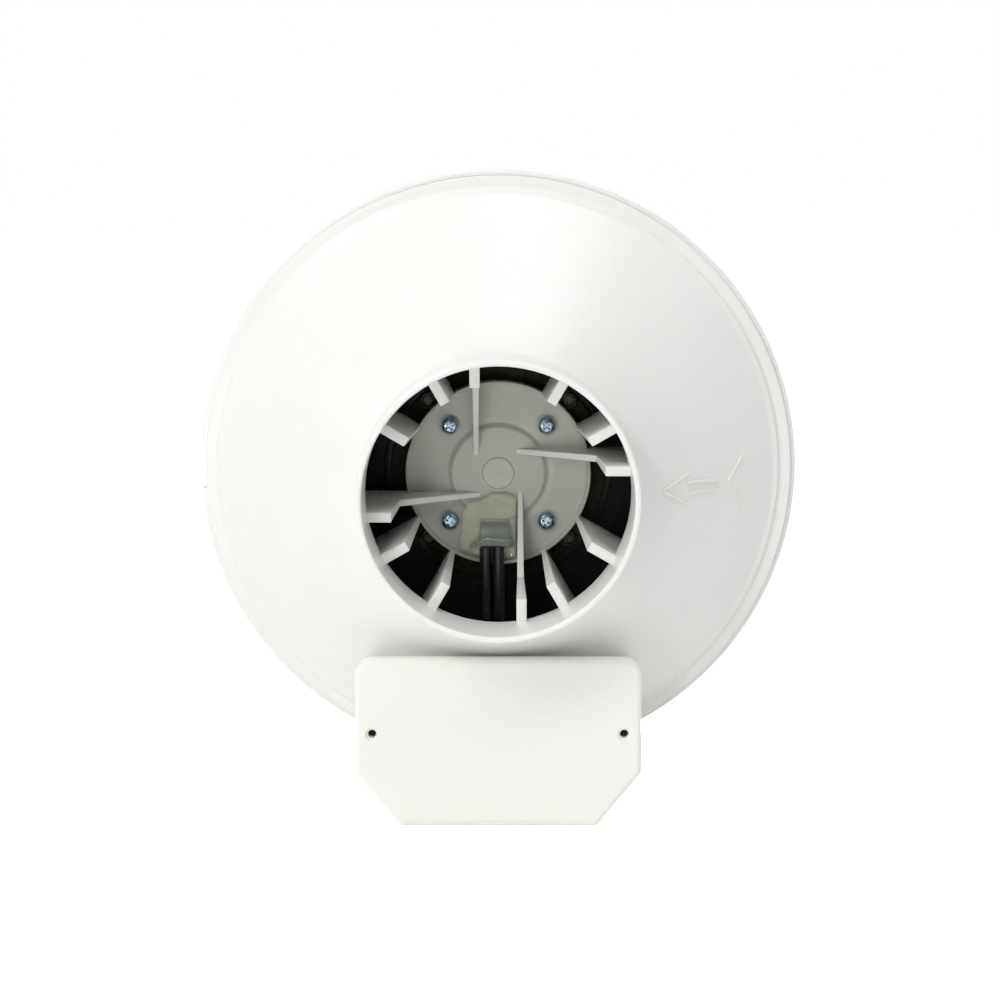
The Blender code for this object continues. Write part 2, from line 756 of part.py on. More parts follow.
def build_rotor_can(rotor):
    bore = CAN_R - CAN_WALL
    shaft_hole = SHAFT_R + GAP
    points = [
        (CAN_FLANGE_R, CAN_FLANGE_TOP),
        (CAN_FLANGE_R, CAN_FLANGE_UNDER),
        (CAN_R, CAN_FLANGE_UNDER),
        (CAN_R, CAN_END + MM),
        (CAN_R - MM, CAN_END),
        (HUB_R, CAN_END),
        (HUB_R, HUB_END),
        (shaft_hole, HUB_END),
        (shaft_hole, HUB_TOP),
        (HUB_R - MM, HUB_TOP),
        (HUB_R - MM, CAN_END + CAN_WALL),
        (bore, CAN_END + CAN_WALL),
        (bore, CAN_FLANGE_TOP - MM),
        (bore + MM, CAN_FLANGE_TOP),
    ]
    can = lathe("rotor_can", points, MEDIUM, "rotor_steel", rotor)
    cut_rivet_holes(can, rotor, "can_hole")


def build_rotor_cage(rotor):
    outside = CAN_R - CAN_WALL - GAP
    points = [(outside, CAGE_TOP), (outside, CAGE_END), (CAGE_BORE, CAGE_END), (CAGE_BORE, CAGE_TOP)]
    lathe("rotor_cage", points, MEDIUM, "motor_aluminium", rotor)


def build_shaft(rotor):
    reach = RACE_WIDTH / 2 + GAP
    points = [
        (0.0, SHAFT_TOP),
        (SHAFT_R, SHAFT_TOP),
        (SHAFT_R, CLIP_GROOVE_TOP),
        (CLIP_GROOVE_R, CLIP_GROOVE_TOP),
        (CLIP_GROOVE_R, CLIP_GROOVE_END),
        (SHAFT_R, CLIP_GROOVE_END),
        (SHAFT_R, FRONT_BEARING_Z - reach),
        (SHAFT_STEP_R, FRONT_BEARING_Z - reach),
        (SHAFT_STEP_R, REAR_BEARING_Z + reach),
        (SHAFT_R, REAR_BEARING_Z + reach),
        (SHAFT_R, SHAFT_END),
        (0.0, SHAFT_END),
    ]
    lathe("rotor_shaft", points, SMALL, "bright_steel", rotor, closed=False)


def build_shaft_clip(rotor):
    points = [(CLIP_R, CLIP_TOP), (CLIP_R, CLIP_END), (CLIP_BORE, CLIP_END), (CLIP_BORE, CLIP_TOP)]
    clip = lathe("shaft_clip", points, SMALL, "bright_steel", rotor)
    mouth = box_mesh("clip_mouth", (0.0, -1.2 * MM, CLIP_END - MM), (8 * MM, 1.2 * MM, CLIP_TOP + MM))
    cut(clip, tool("clip_mouth", mouth, rotor))


def groove(side, mid):
    """A race's groove as an arc of points, on the side of the balls given by +1 (outer) or -1 (inner)."""
    land = LAND_OUT if side > 0 else LAND_IN
    half_angle = math.degrees(math.acos(abs(land - PITCH_R) / GROOVE_R))
    middle = 0 if side > 0 else 180
    return arc((PITCH_R, mid), GROOVE_R, middle - half_angle, middle + half_angle, 4)


def build_bearing(name, mid, frame, rotor, balls_axis):
    top = mid + RACE_WIDTH / 2
    end = mid - RACE_WIDTH / 2
    outer = [(RACE_OUT_R, top), (RACE_OUT_R, end), (LAND_OUT, end), *groove(1, mid), (LAND_OUT, top)]
    lathe(f"{name}_bearing_outer_race", outer, 20, "bright_steel", frame)
    inner = [(LAND_IN, top), *groove(-1, mid), (LAND_IN, end), (RACE_IN_R, end), (RACE_IN_R, top)]
    lathe(f"{name}_bearing_inner_race", inner, 16, "bright_steel", rotor)
    build_balls(name, mid, balls_axis)


def build_balls(name, mid, balls_axis):
    """The balls and the thin cage that spaces them, as one set that rolls round between the races."""
    half = BALL_RING_HALF
    ring = [
        (PITCH_R + half, mid + half),
        (PITCH_R + half, mid - half),
        (PITCH_R - half, mid - half),
        (PITCH_R - half, mid + half),
    ]
    cage = lathe(f"{name}_bearing_balls", ring, 2 * BALL_COUNT, "bright_steel", balls_axis)
    for i in range(BALL_COUNT):
        angle = math.tau * i / BALL_COUNT
        bm = bmesh.new()
        place = (PITCH_R * math.cos(angle), PITCH_R * math.sin(angle), mid)
        bmesh.ops.create_icosphere(
            bm, subdivisions=2, radius=BALL_R, matrix=Matrix.Translation(place)
        )
        ball_name = f"{name}_ball_{i}"
        add(cage, tool(ball_name, mesh_of(bm, ball_name), balls_axis))


def build_preload_washer(frame):
    points = [
        (WASHER_R, WASHER_TOP),
        (WASHER_R, WASHER_END),
        (WASHER_BORE, WASHER_END),
        (WASHER_BORE, WASHER_TOP),
    ]
    lathe("preload_washer", points, 20, "bright_steel", frame)


def build_motor_flange(frame):
    """The stator's mounting flange, with the tube that holds both bearings."""
    points = [
        (0.0, FLANGE_TOP),
        (MOTOR_FLANGE_R, FLANGE_TOP),
        (MOTOR_FLANGE_R, FLANGE_UNDER),
        (TUBE_R, FLANGE_UNDER),
        (TUBE_R, TUBE_END),
        (TUBE_BORE, TUBE_END),
        (TUBE_BORE, TUBE_SHOULDER),
        (TUBE_SHOULDER_R, TUBE_SHOULDER),
        (TUBE_SHOULDER_R, FLANGE_UNDER),
        (0.0, FLANGE_UNDER),
    ]
    flange = lathe("motor_flange", points, MEDIUM, "motor_aluminium", frame, closed=False)
    cut_screw_holes(flange, frame, "flange_hole")
    cut(flange, sleeve_slot(frame, "flange_slot"))


def slot_mesh(name, index, shrink, low, high):
    """A radial bar in one of the core's slots, smaller than the slot by shrink on each side."""
    bm = bmesh.new()
    size = (SLOT_OUT - SLOT_IN - 2 * shrink, SLOT_WIDTH - 2 * shrink, high - low)
    bmesh.ops.create_cube(bm, size=1.0)
    bmesh.ops.scale(bm, vec=size, verts=bm.verts)
    bmesh.ops.translate(bm, vec=((SLOT_OUT + SLOT_IN) / 2, 0.0, (high + low) / 2), verts=bm.verts)
    turned = Matrix.Rotation(math.tau * (index + 0.5) / SLOT_COUNT, 3, "Z")
    bmesh.ops.rotate(bm, cent=(0, 0, 0), matrix=turned, verts=bm.verts)
    return mesh_of(bm, name)


def build_stator_core(frame):
    points = [(CORE_R, CORE_TOP), (CORE_R, CORE_END), (CORE_BORE, CORE_END), (CORE_BORE, CORE_TOP)]
    core = lathe("stator_core", points, MEDIUM, "core_steel", frame)
    for i in range(SLOT_COUNT):
        name = f"core_slot_{i}"
        slot = slot_mesh(name, i, 0.0, CORE_END - MM, CORE_TOP + MM)
        cut(core, tool(name, slot, frame))


def coil_ring(top, end):
    """An end turn of the windings, with its four corners rounded off."""
    return [
        (COIL_OUT - COIL_ROUND, top),
        (COIL_OUT, top - COIL_ROUND),
        (COIL_OUT, end),
        (COIL_IN, end),
        (COIL_IN, top - COIL_ROUND),
        (COIL_IN + COIL_ROUND, top),
    ]


def build_windings(frame):
    upper = coil_ring(COIL_TOP, CORE_TOP + GAP)
    lower = [(r, -z) for r, z in reversed(coil_ring(-COIL_END, -CORE_END + GAP))]
    windings = lathe("stator_windings", upper, 24, "copper_winding", frame)
    add(windings, lathe_tool("lower_turns", lower, 24, frame))
    for i in range(SLOT_COUNT):
        name = f"slot_coil_{i}"
        bar = slot_mesh(name, i, GAP, CORE_END - MM, CORE_TOP + MM)
        add(windings, tool(name, bar, frame))


def build_motor_screws(frame):
    under = PLATE_Z + GAP
    shoulder = under + SCREW_HEAD_H / 2
    points = [
        (0.0, under + SCREW_HEAD_H),
        (SCREW_HEAD_R * 0.55, under + SCREW_HEAD_H * 0.92),
        (SCREW_HEAD_R * 0.9, shoulder),
        (SCREW_HEAD_R, under),
        (SCREW_R, under),
        (SCREW_R, SCREW_END),
        (0.0, SCREW_END),
    ]
    for i, (x, y) in enumerate(screw_places()):
        screw = lathe(f"motor_screw_{i + 1}", points, SMALL, "zinc_screw", frame, closed=False)
        screw.location = (x, y, 0.0)


# ---------------------------------------------------------------- wiring


def sleeve_outline():
    """The sleeve's side: up through the plate, then over and down along its face."""
    return [
        (-19.6 * MM, 6.2 * MM),
        (-15.6 * MM, 6.2 * MM),
        (-15.6 * MM, 15.2 * MM),
        (-17.6 * MM, 18.0 * MM),
        (-27.4 * MM, 18.6 * MM),
        (-27.4 * MM, 14.0 * MM),
        (-19.6 * MM, 14.0 * MM),
    ]


def sleeve_mesh(name, grow):
    """The outline stands in the (y, z) plane and runs along x."""
    low = SLEEVE_X - SLEEVE_HALF - grow
    high = SLEEVE_X + SLEEVE_HALF + grow
    mesh = prism_mesh(name, sleeve_outline(), low, high)
    for vert in mesh.vertices:
        vert.co = (vert.co.z, vert.co.x, vert.co.y)
    return mesh


def build_cable_sleeve(frame):
    piece("cable_sleeve", sleeve_mesh("cable_sleeve", 0.0), "sleeve_plastic", frame)


def build_resin_seal(frame):
    """The potting that seals the leads' passage, run out between two of the ribs."""
    rib_side = LONG_OFFSET - VANE_THIN / 2 - GAP - 0.3 * MM
    outline = [
        (-6.2 * MM, -9.9 * MM),
        (-3.0 * MM, -7.6 * MM),
        (2.6 * MM, -7.4 * MM),
        (rib_side, -8.8 * MM),
        (rib_side, -32.4 * MM),
        (0.0, -33.3 * MM),
        (-8.6 * MM, -32.1 * MM),
        (-15.0 * MM, -29.6 * MM),
        (-14.9 * MM, -24.0 * MM),
        (-13.9 * MM, -21.5 * MM),
        (-13.9 * MM, -15.0 * MM),
        (-11.6 * MM, -11.0 * MM),
    ]
    mesh = prism_mesh("resin_seal", outline, PLATE_Z + GAP, RESIN_TOP)
    resin = piece("resin_seal", mesh, "resin", frame)
    bevel_front(resin, RESIN_ROUND, RESIN_TOP, segments=1)
    low = (SLEEVE_X - SLEEVE_HALF - GAP, -27.4 * MM - GAP, 0.0)
    high = (SLEEVE_X + SLEEVE_HALF + GAP, -15.6 * MM + GAP, 2 * RESIN_TOP)
    cut(resin, tool("resin_slot", box_mesh("resin_slot", low, high), frame))


def lead_route(side):
    """From the sleeve's mouth down inside the housing, then through the grommet into the box."""
    x = LEAD_X + side * LEAD_HALF_PITCH
    down_the_airway = [
        (x, -27.8 * MM, 17.6 * MM),
        (x, -38.0 * MM, 17.9 * MM),
        (x, -52.0 * MM, 18.0 * MM),
        (x, -66.0 * MM, 15.0 * MM),
        (x, -75.5 * MM, 15.5 * MM),
        (x, GROMMET_Y, 22.0 * MM),
        (x, GROMMET_Y, 28.0 * MM),
        (x, GROMMET_Y, 33.0 * MM),
        (x, GROMMET_Y, 38.0 * MM),
    ]
    to_the_block = [
        (x - 4.0 * MM, GROMMET_Y - 2.5 * MM, 41.0 * MM),
        (x - 12.0 * MM, GROMMET_Y - 6.0 * MM, 38.0 * MM),
        (x - 14.8 * MM, GROMMET_Y - 8.0 * MM, 31.5 * MM),
        (x - 15.0 * MM, BLOCK_Y[1] + 2.2 * MM, 28.6 * MM),
        (x - 15.0 * MM, BLOCK_Y[1] + 1.2 * MM, 28.6 * MM),
        (x - 15.0 * MM, BLOCK_Y[1] + GAP, 28.6 * MM),
    ]
    to_the_capacitor = [
        (x + 0.4 * MM, GROMMET_Y - 4.5 * MM, 41.3 * MM),
        (x + 0.8 * MM, GROMMET_Y - 13.0 * MM, 36.5 * MM),
        (x + 1.4 * MM, GROMMET_Y - 23.0 * MM, 28.5 * MM),
        (x + 2.6 * MM, CAPACITOR_Y + 1.6 * MM, CAPACITOR_Z + 1.4 * MM),
        (CAPACITOR_X[0] - 2.2 * MM, CAPACITOR_Y, CAPACITOR_Z),
        (CAPACITOR_X[0] - GAP, CAPACITOR_Y, CAPACITOR_Z),
    ]
    return down_the_airway + (to_the_block if side < 0 else to_the_capacitor)


def build_leads(frame):
    for side, name in ((-1, "supply_lead"), (1, "capacitor_lead")):
        tube(name, smooth_route(lead_route(side), 3), LEAD_R, "black_rubber", frame)


def build_cable_grommet(frame):
    outline = oblong(GROMMET_Y, GROMMET_HALF_X, GROMMET_HALF_Y)
    mesh = prism_mesh("cable_grommet", outline, GROMMET_END, GROMMET_TOP)
    grommet = piece("cable_grommet", mesh, "grey_rubber", frame)
    for side in (-1, 1):
        x = LEAD_X + side * (LEAD_HALF_PITCH + 0.1 * MM)
        name = f"lead_bore_{side + 1}"
        start = (x, GROMMET_Y, GROMMET_END - MM)
        end = (x, GROMMET_Y, GROMMET_TOP + MM)
        cut(grommet, tool(name, rod_mesh(name, LEAD_R + 2 * GAP, start, end, SMALL), frame))


# ---------------------------------------------------------------- terminal box


def box_outline(inset=0.0, top_y=BOX_TOP_Y):
    """The box seen from the outlet: round top corners and slanted bottom ones."""
    side = BOX_HALF_WIDTH - inset
    top = top_y - inset
    bottom = BOX_BOTTOM_Y + inset
    radius = BOX_CORNER_R - inset
    slant = inset * (math.hypot(BOX_CHAMFER_X, BOX_CHAMFER_Y) - BOX_CHAMFER_X) / BOX_CHAMFER_Y
    foot_x = BOX_HALF_WIDTH - BOX_CHAMFER_X - slant
    rise = (side - foot_x) * BOX_CHAMFER_Y / BOX_CHAMFER_X
    right = arc((side - radius, top - radius), radius, 0, 90, 4)
    left = arc((radius - side, top - radius), radius, 90, 180, 4)
    lower = [(-side, bottom + rise), (-foot_x, bottom)]
    return [(foot_x, bottom), (side, bottom + rise), *right, *left, *lower]


def cone_cutter(name, out, frame):
    """A solid that fills the housing's side of the cone, so that the box can be fitted over it."""
    top_r = COLLAR_R - MM
    points = [
        (0.0, cone_z(top_r, out)),
        (top_r, cone_z(top_r, out)),
        (2 * RIM_R, cone_z(2 * RIM_R, out)),
        (0.0, cone_z(2 * RIM_R, out)),
    ]
    return lathe_tool(name, points, ROUND, frame, closed=False)


def pillar(box, name, x, y, top, frame):
    low = BOX_BACK + BOX_WALL / 2
    if math.hypot(x, y) < CONE_FOOT_R:
        low = cone_z(math.hypot(x, y), GAP + BOX_WALL) + 0.2 * MM
    add(box, tool(name, rod_mesh(name, PILLAR_R, (x, y, low), (x, y, top), SMALL), frame))


def build_terminal_box(frame):
    outer = prism_mesh("terminal_box", box_outline(), BOX_BACK, BOX_FRONT)
    box = piece("terminal_box", outer, "box_plastic", frame)
    cut(box, cone_cutter("box_seat", GAP, frame))
    inner_outline = box_outline(BOX_WALL)
    room_mesh = prism_mesh("box_room", inner_outline, BOX_BACK + BOX_WALL, BOX_FRONT + MM)
    room = tool("box_room", room_mesh, frame)
    cut(room, cone_cutter("box_floor", GAP + BOX_WALL, frame))
    cut(box, room)
    for side in (-1, 1):
        x = side * COVER_SCREW_X
        pillar(box, f"screw_pillar_{side + 1}", x, COVER_SCREW_Y, BOX_FRONT, frame)
        hole = f"screw_pilot_{side + 1}"
        start = (x, COVER_SCREW_Y, COVER_SCREW_END - MM)
        end = (x, COVER_SCREW_Y, BOX_FRONT + MM)
        cut(box, tool(hole, rod_mesh(hole, COVER_SCREW_R + GAP, start, end, SMALL), frame))
    for i, x in enumerate((BLOCK_X[0] + 6 * MM, BLOCK_X[1] - 6 * MM)):
        pillar(box, f"block_pillar_{i}", x, sum(BLOCK_Y) / 2, BLOCK_Z[0] - GAP, frame)
    cut(box, grommet_passage(frame, "box_passage"))
    start = (ENTRY_X, BOX_BOTTOM_Y - MM, ENTRY_Z)
    end = (ENTRY_X, BOX_BOTTOM_Y + BOX_WALL + MM, ENTRY_Z)
    cut(box, tool("entry_hole", rod_mesh("entry_hole", ENTRY_R + GAP, start, end, 20), frame))


def build_box_gasket(frame):
    mesh = prism_mesh("box_gasket", box_outline(GAP), GASKET_BACK, GASKET_FRONT)
    gasket = piece("box_gasket", mesh, "grey_rubber", frame)
    inner = prism_mesh("gasket_room", box_outline(BOX_WALL - GAP), GASKET_BACK - MM, GASKET_FRONT + MM)
    cut(gasket, tool("gasket_room", inner, frame))
    cut(gasket, cone_cutter("gasket_seat", GAP, frame))


def build_cover(frame):
    mesh = prism_mesh("terminal_box_cover", box_outline(0.0, COVER_TOP_Y), COVER_BACK, COVER_FRONT)
    cover = piece("terminal_box_cover", mesh, "box_plastic", frame)
    bevel_front(cover, COVER_ROUND, COVER_FRONT)
    inner_outline = box_outline(BOX_WALL)
    inner = prism_mesh("cover_room", inner_outline, COVER_BACK - MM, COVER_FRONT - BOX_WALL)
    cut(cover, tool("cover_room", inner, frame))
    for side in (-1, 1):
        x = side * COVER_SCREW_X
        sleeve = f"cover_sleeve_{side + 1}"
        low = (x, COVER_SCREW_Y, COVER_BACK)
        high = (x, COVER_SCREW_Y, COVER_FRONT - COVER_SINK_DEPTH / 2)
        add(cover, tool(sleeve, rod_mesh(sleeve, PILLAR_R, low, high, SMALL), frame))
        sink = [
            (0.0, COVER_FRONT + MM),
            (COVER_SINK_R, COVER_FRONT + MM),
            (COVER_SINK_R, COVER_FRONT - COVER_SINK_DEPTH),
            (COVER_HOLE_R, COVER_FRONT - COVER_SINK_DEPTH),
            (COVER_HOLE_R, COVER_BACK + 0.9 * MM),
            (COVER_SCREW_R + GAP, COVER_BACK + 0.9 * MM),
            (COVER_SCREW_R + GAP, COVER_BACK - MM),
            (0.0, COVER_BACK - MM),
        ]
        hole = lathe_tool(f"cover_hole_{side + 1}", sink, SMALL, frame, closed=False)
        hole.location = (x, COVER_SCREW_Y, 0.0)
        cut(cover, hole)


def build_cover_screws(frame):
    under = COVER_BACK + 0.9 * MM + GAP
    points = [
        (0.0, COVER_SCREW_TOP),
        (COVER_SCREW_HEAD_R, COVER_SCREW_TOP),
        (COVER_SCREW_HEAD_R, under),
        (COVER_SCREW_R, under),
        (COVER_SCREW_R, COVER_SCREW_END),
        (0.0, COVER_SCREW_END),
    ]
    for side, name in ((-1, "cover_screw_left"), (1, "cover_screw_right")):
        screw = lathe(name, points, SMALL, "zinc_screw", frame, closed=False)
        screw.location = (side * COVER_SCREW_X, COVER_SCREW_Y, 0.0)


def build_cable_entry_plug(frame):
    """A blanking plug set flush in the box's underside, where the supply cable is brought in."""
    points = [
        (0.0, 0.0),
        (ENTRY_R, 0.0),
        (ENTRY_R, -BOX_WALL - GAP),
        (ENTRY_FLANGE_R, -BOX_WALL - GAP),
        (ENTRY_FLANGE_R, -BOX_WALL - MM),
        (0.0, -BOX_WALL - MM),
    ]
    plug = lathe("cable_entry_plug", points, 20, "grey_rubber", frame, closed=False)
    plug.location = (ENTRY_X, BOX_BOTTOM_Y, ENTRY_Z)
    plug.rotation_euler = (math.radians(90), 0.0, 0.0)


def build_capacitor(frame):
    start = (CAPACITOR_X[0], CAPACITOR_Y, CAPACITOR_Z)
    end = (CAPACITOR_X[1], CAPACITOR_Y, CAPACITOR_Z)
    mesh = rod_mesh("motor_capacitor", CAPACITOR_R, start, end, 20)
    piece("motor_capacitor", mesh, "capacitor_plastic", frame)


def build_capacitor_clip(frame):
    """A spring band round the capacitor, open towards the cover."""
    middle = sum(CAPACITOR_X) / 2
    half = 4.0 * MM
    bore = CAPACITOR_R + GAP
    points = [(bore + 1.2 * MM, half), (bore + 1.2 * MM, -half), (bore, -half), (bore, half)]
    clip = lathe("capacitor_clip", points, 20, "bright_steel", frame)
    clip.location = (middle, CAPACITOR_Y, CAPACITOR_Z)
    clip.rotation_euler = (0.0, math.radians(90), 0.0)
    low = (middle - 2 * half, CAPACITOR_Y - 6 * MM, CAPACITOR_Z)
    high = (middle + 2 * half, CAPACITOR_Y + 6 * MM, CAPACITOR_Z + 2 * bore)
    cut(clip, tool("clip_opening", box_mesh("clip_opening", low, high), frame))


def build_terminal_block(frame):
    low = (BLOCK_X[0], BLOCK_Y[0], BLOCK_Z[0])
    high = (BLOCK_X[1], BLOCK_Y[1], BLOCK_Z[1])
    block = piece("terminal_block", box_mesh("terminal_block", low, high), "terminal_plastic", frame)
    pitch = (BLOCK_X[1] - BLOCK_X[0]) / 3
    for i in range(3):
        x = BLOCK_X[0] + (i + 0.5) * pitch
        name = f"block_well_{i}"
        place = (x, sum(BLOCK_Y) / 2, BLOCK_Z[1] - 3 * MM)
        mouth = (x, sum(BLOCK_Y) / 2, BLOCK_Z[1] + MM)
        cut(block, tool(name, rod_mesh(name, 2.2 * MM, place, mouth, SMALL), frame))


# ---------------------------------------------------------------- the fan


def build_static(frame):
    build_outlet_housing(frame)
    build_inlet_housing(frame)
    build_housing_seal(frame)
    build_inlet_ring(frame)
    build_motor_flange(frame)
    build_preload_washer(frame)
    build_stator_core(frame)
    build_windings(frame)
    build_motor_screws(frame)
    build_cable_sleeve(frame)
    build_resin_seal(frame)
    build_leads(frame)
    build_cable_grommet(frame)
    build_terminal_box(frame)
    build_box_gasket(frame)
    build_cover(frame)
    build_cover_screws(frame)
    build_cable_entry_plug(frame)
    build_capacitor(frame)
    build_capacitor_clip(frame)
    build_terminal_block(frame)


def build_rotor(rotor):
    build_backplate(rotor)
    build_shroud(rotor)
    build_rivets(rotor)
    build_rotor_can(rotor)
    build_rotor_cage(rotor)
    build_shaft(rotor)
    build_shaft_clip(rotor)


def main():
    frame = new_axis("fan_frame")
    frame.rotation_euler = (math.radians(90), 0.0, 0.0)
    rotor = new_axis("rotor_axis", frame)
    build_static(frame)
    build_rotor(rotor)
    for name, mid in (("front", FRONT_BEARING_Z), ("rear", REAR_BEARING_Z)):
        balls_axis = new_axis(f"{name}_balls_axis", frame)
        build_bearing(name, mid, frame, rotor, balls_axis)


clear_scene()
PART = new_collection("inline_duct_fan")
TOOLS = new_collection("cutters")
main()
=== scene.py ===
"""Inline duct fan: the finished look of each piece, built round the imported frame."""

import json
import math

import bmesh
import bpy
from mathutils import Matrix, Vector, noise


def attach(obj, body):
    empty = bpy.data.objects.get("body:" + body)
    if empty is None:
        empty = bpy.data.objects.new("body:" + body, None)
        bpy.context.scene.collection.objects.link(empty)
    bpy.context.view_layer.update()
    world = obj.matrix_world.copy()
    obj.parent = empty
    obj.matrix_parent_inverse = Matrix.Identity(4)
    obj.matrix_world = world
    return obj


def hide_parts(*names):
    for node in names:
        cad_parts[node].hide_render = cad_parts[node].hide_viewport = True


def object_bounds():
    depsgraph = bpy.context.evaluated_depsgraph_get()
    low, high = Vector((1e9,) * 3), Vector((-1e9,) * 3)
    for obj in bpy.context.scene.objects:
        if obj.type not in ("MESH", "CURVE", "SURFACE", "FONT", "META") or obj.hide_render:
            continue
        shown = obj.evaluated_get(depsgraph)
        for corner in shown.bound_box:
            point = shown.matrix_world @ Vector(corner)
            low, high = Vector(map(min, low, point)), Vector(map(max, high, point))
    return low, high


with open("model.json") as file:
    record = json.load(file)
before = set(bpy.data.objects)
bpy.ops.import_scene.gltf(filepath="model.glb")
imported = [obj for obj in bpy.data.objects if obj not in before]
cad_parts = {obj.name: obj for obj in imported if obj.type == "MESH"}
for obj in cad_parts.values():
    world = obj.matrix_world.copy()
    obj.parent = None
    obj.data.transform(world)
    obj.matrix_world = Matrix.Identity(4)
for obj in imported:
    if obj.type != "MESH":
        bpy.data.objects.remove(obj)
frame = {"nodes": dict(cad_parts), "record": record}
CAD_LOW, CAD_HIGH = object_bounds()

bl_info = {
    "name": "Inline duct fan",
    "version": (1, 0, 0),
    "blender": (4, 5, 0),
    "location": "View3D > Sidebar > Duct Fan",
    "description": "Builds the finished pieces of an inline duct fan round its frame",
    "category": "Add Mesh",
}

MM = 0.001
HOUSING = "housing"
ROTOR = "rotor"

# The depth, the rim and the box's underside come from the frame
HALF_DEPTH = -CAD_LOW.y
RIM_R = CAD_HIGH.z
BOX_BOTTOM = CAD_LOW.z

COLLAR_R = 50.0 * MM
COLLAR_BORE = 47.8 * MM
CONE_TOP_R = 52.5 * MM
CONE_TOP_Z = 51.4 * MM
CONE_FOOT_R = 105.6 * MM
CONE_FOOT_Z = 7.0 * MM
CONE_SLOPE = (CONE_TOP_Z - CONE_FOOT_Z) / (CONE_FOOT_R - CONE_TOP_R)
SHELL = 2.5 * MM
FLANGE_R = 112.9 * MM
NOTCH_FLOOR = 112.7 * MM
NOTCH_HALF = 7.7 * MM
PLATE_Z = 12.4 * MM
PLATE_R = 35.4 * MM
VANE_FRONT = 58.0 * MM
VANE_BACK = 8.0 * MM
LONG_OFFSET = 8.4 * MM
SCREW_XY = 18.4 * MM
RIVET_PCR = 38.0 * MM
IMPELLER_R = 78.0 * MM
BLADE_COUNT = 9
BOX_HALF_WIDTH = 52.7 * MM
COVER_TOP = -62.9 * MM
BOX_TOP = -68.5 * MM
COVER_FRONT = 50.0 * MM
COVER_BACK = 44.9 * MM
BOX_FRONT = 43.7 * MM
BOX_BACK = 7.5 * MM
BOX_WALL = 2.2 * MM
COVER_SCREW = (46.4 * MM, -91.0 * MM)
GROMMET_Z = -80.0 * MM
LEAD_X = -2.4 * MM
LEAD_HALF_PITCH = 2.45 * MM
PASSAGE_HALF = (7.5 * MM, 4.8 * MM)
ENTRY_PLACE = (-22.0 * MM, -26.0 * MM, BOX_BOTTOM)
POST_R = 3.2 * MM

# The slanted lower corners of the box, across and up, in millimetres
SLANT_RUN = 16.4
SLANT_RISE = 20.0

FINE = 256
MEDIUM = 128
SMALL = 48


# ---------------------------------------------------------------- settings


class DuctFanHousingSettings(bpy.types.PropertyGroup):
    """Sizes and colours of the moulded pieces."""

    shell_steps: bpy.props.IntProperty(
        name="Shell steps",
        description="Facets round the two halves of the housing",
        default=FINE,
        min=64,
        max=512,
    )
    edge_round: bpy.props.FloatProperty(
        name="Edge rounding",
        description="Radius on the guide vanes' edges",
        default=0.35 * MM,
        min=0.05 * MM,
        max=0.8 * MM,
        unit="LENGTH",
    )
    cover_round: bpy.props.FloatProperty(
        name="Cover rounding",
        description="Radius round the terminal box cover's front",
        default=1.9 * MM,
        min=0.5 * MM,
        max=2.4 * MM,
        unit="LENGTH",
    )
    arrow_height: bpy.props.FloatProperty(
        name="Arrow height",
        description="How far the raised arrows stand out of the cone",
        default=0.45 * MM,
        min=0.1 * MM,
        max=0.8 * MM,
        unit="LENGTH",
    )
    shell_colour: bpy.props.FloatVectorProperty(
        name="Housing colour",
        description="Colour of the two halves of the housing",
        default=(0.86, 0.872, 0.845),
        min=0.0,
        max=1.0,
        subtype="COLOR",
    )
    box_colour: bpy.props.FloatVectorProperty(
        name="Terminal box colour",
        description="Colour of the terminal box and its cover",
        default=(0.925, 0.918, 0.868),
        min=0.0,
        max=1.0,
        subtype="COLOR",
    )


class DuctFanMotorSettings(bpy.types.PropertyGroup):
    """Sizes and colours of the motor, the impeller and the wiring."""

    lead_radius: bpy.props.FloatProperty(
        name="Lead radius",
        description="Radius of each sheathed lead",
        default=2.3 * MM,
        min=1.5 * MM,
        max=2.35 * MM,
        unit="LENGTH",
    )
    screw_head: bpy.props.FloatProperty(
        name="Screw head radius",
        description="Radius of the motor screws' heads",
        default=3.3 * MM,
        min=2.5 * MM,
        max=3.5 * MM,
        unit="LENGTH",
    )
    impeller_colour: bpy.props.FloatVectorProperty(
        name="Impeller colour",
        description="Colour of the impeller's plastic",
        default=(0.002, 0.002, 0.0022),
        min=0.0,
        max=1.0,
        subtype="COLOR",
    )
    resin_colour: bpy.props.FloatVectorProperty(
        name="Potting colour",
        description="Colour of the translucent potting round the leads",
        default=(0.97, 0.965, 0.82),
        min=0.0,
        max=1.0,
        subtype="COLOR",
    )


# ---------------------------------------------------------------- shader groups


def new_group(name, inputs, outputs):
    """A node group with float or vector inputs and float or colour outputs."""
    group = bpy.data.node_groups.new(name, "ShaderNodeTree")
    for socket, kind, default in inputs:
        made = group.interface.new_socket(socket, in_out="INPUT", socket_type=kind)
        if default is not None:
            made.default_value = default
    for socket, kind in outputs:
        group.interface.new_socket(socket, in_out="OUTPUT", socket_type=kind)
    start = group.nodes.new("NodeGroupInput")
    end = group.nodes.new("NodeGroupOutput")
    return group, start, end


def math_node(tree, operation, first, second=None):
    node = tree.nodes.new("ShaderNodeMath")
    node.operation = operation
    for socket, value in zip(node.inputs, (first, second)):
        if value is None:
            continue
        if isinstance(value, (int, float)):
            socket.default_value = value
        else:
            tree.links.new(value, socket)
    return node.outputs[0]


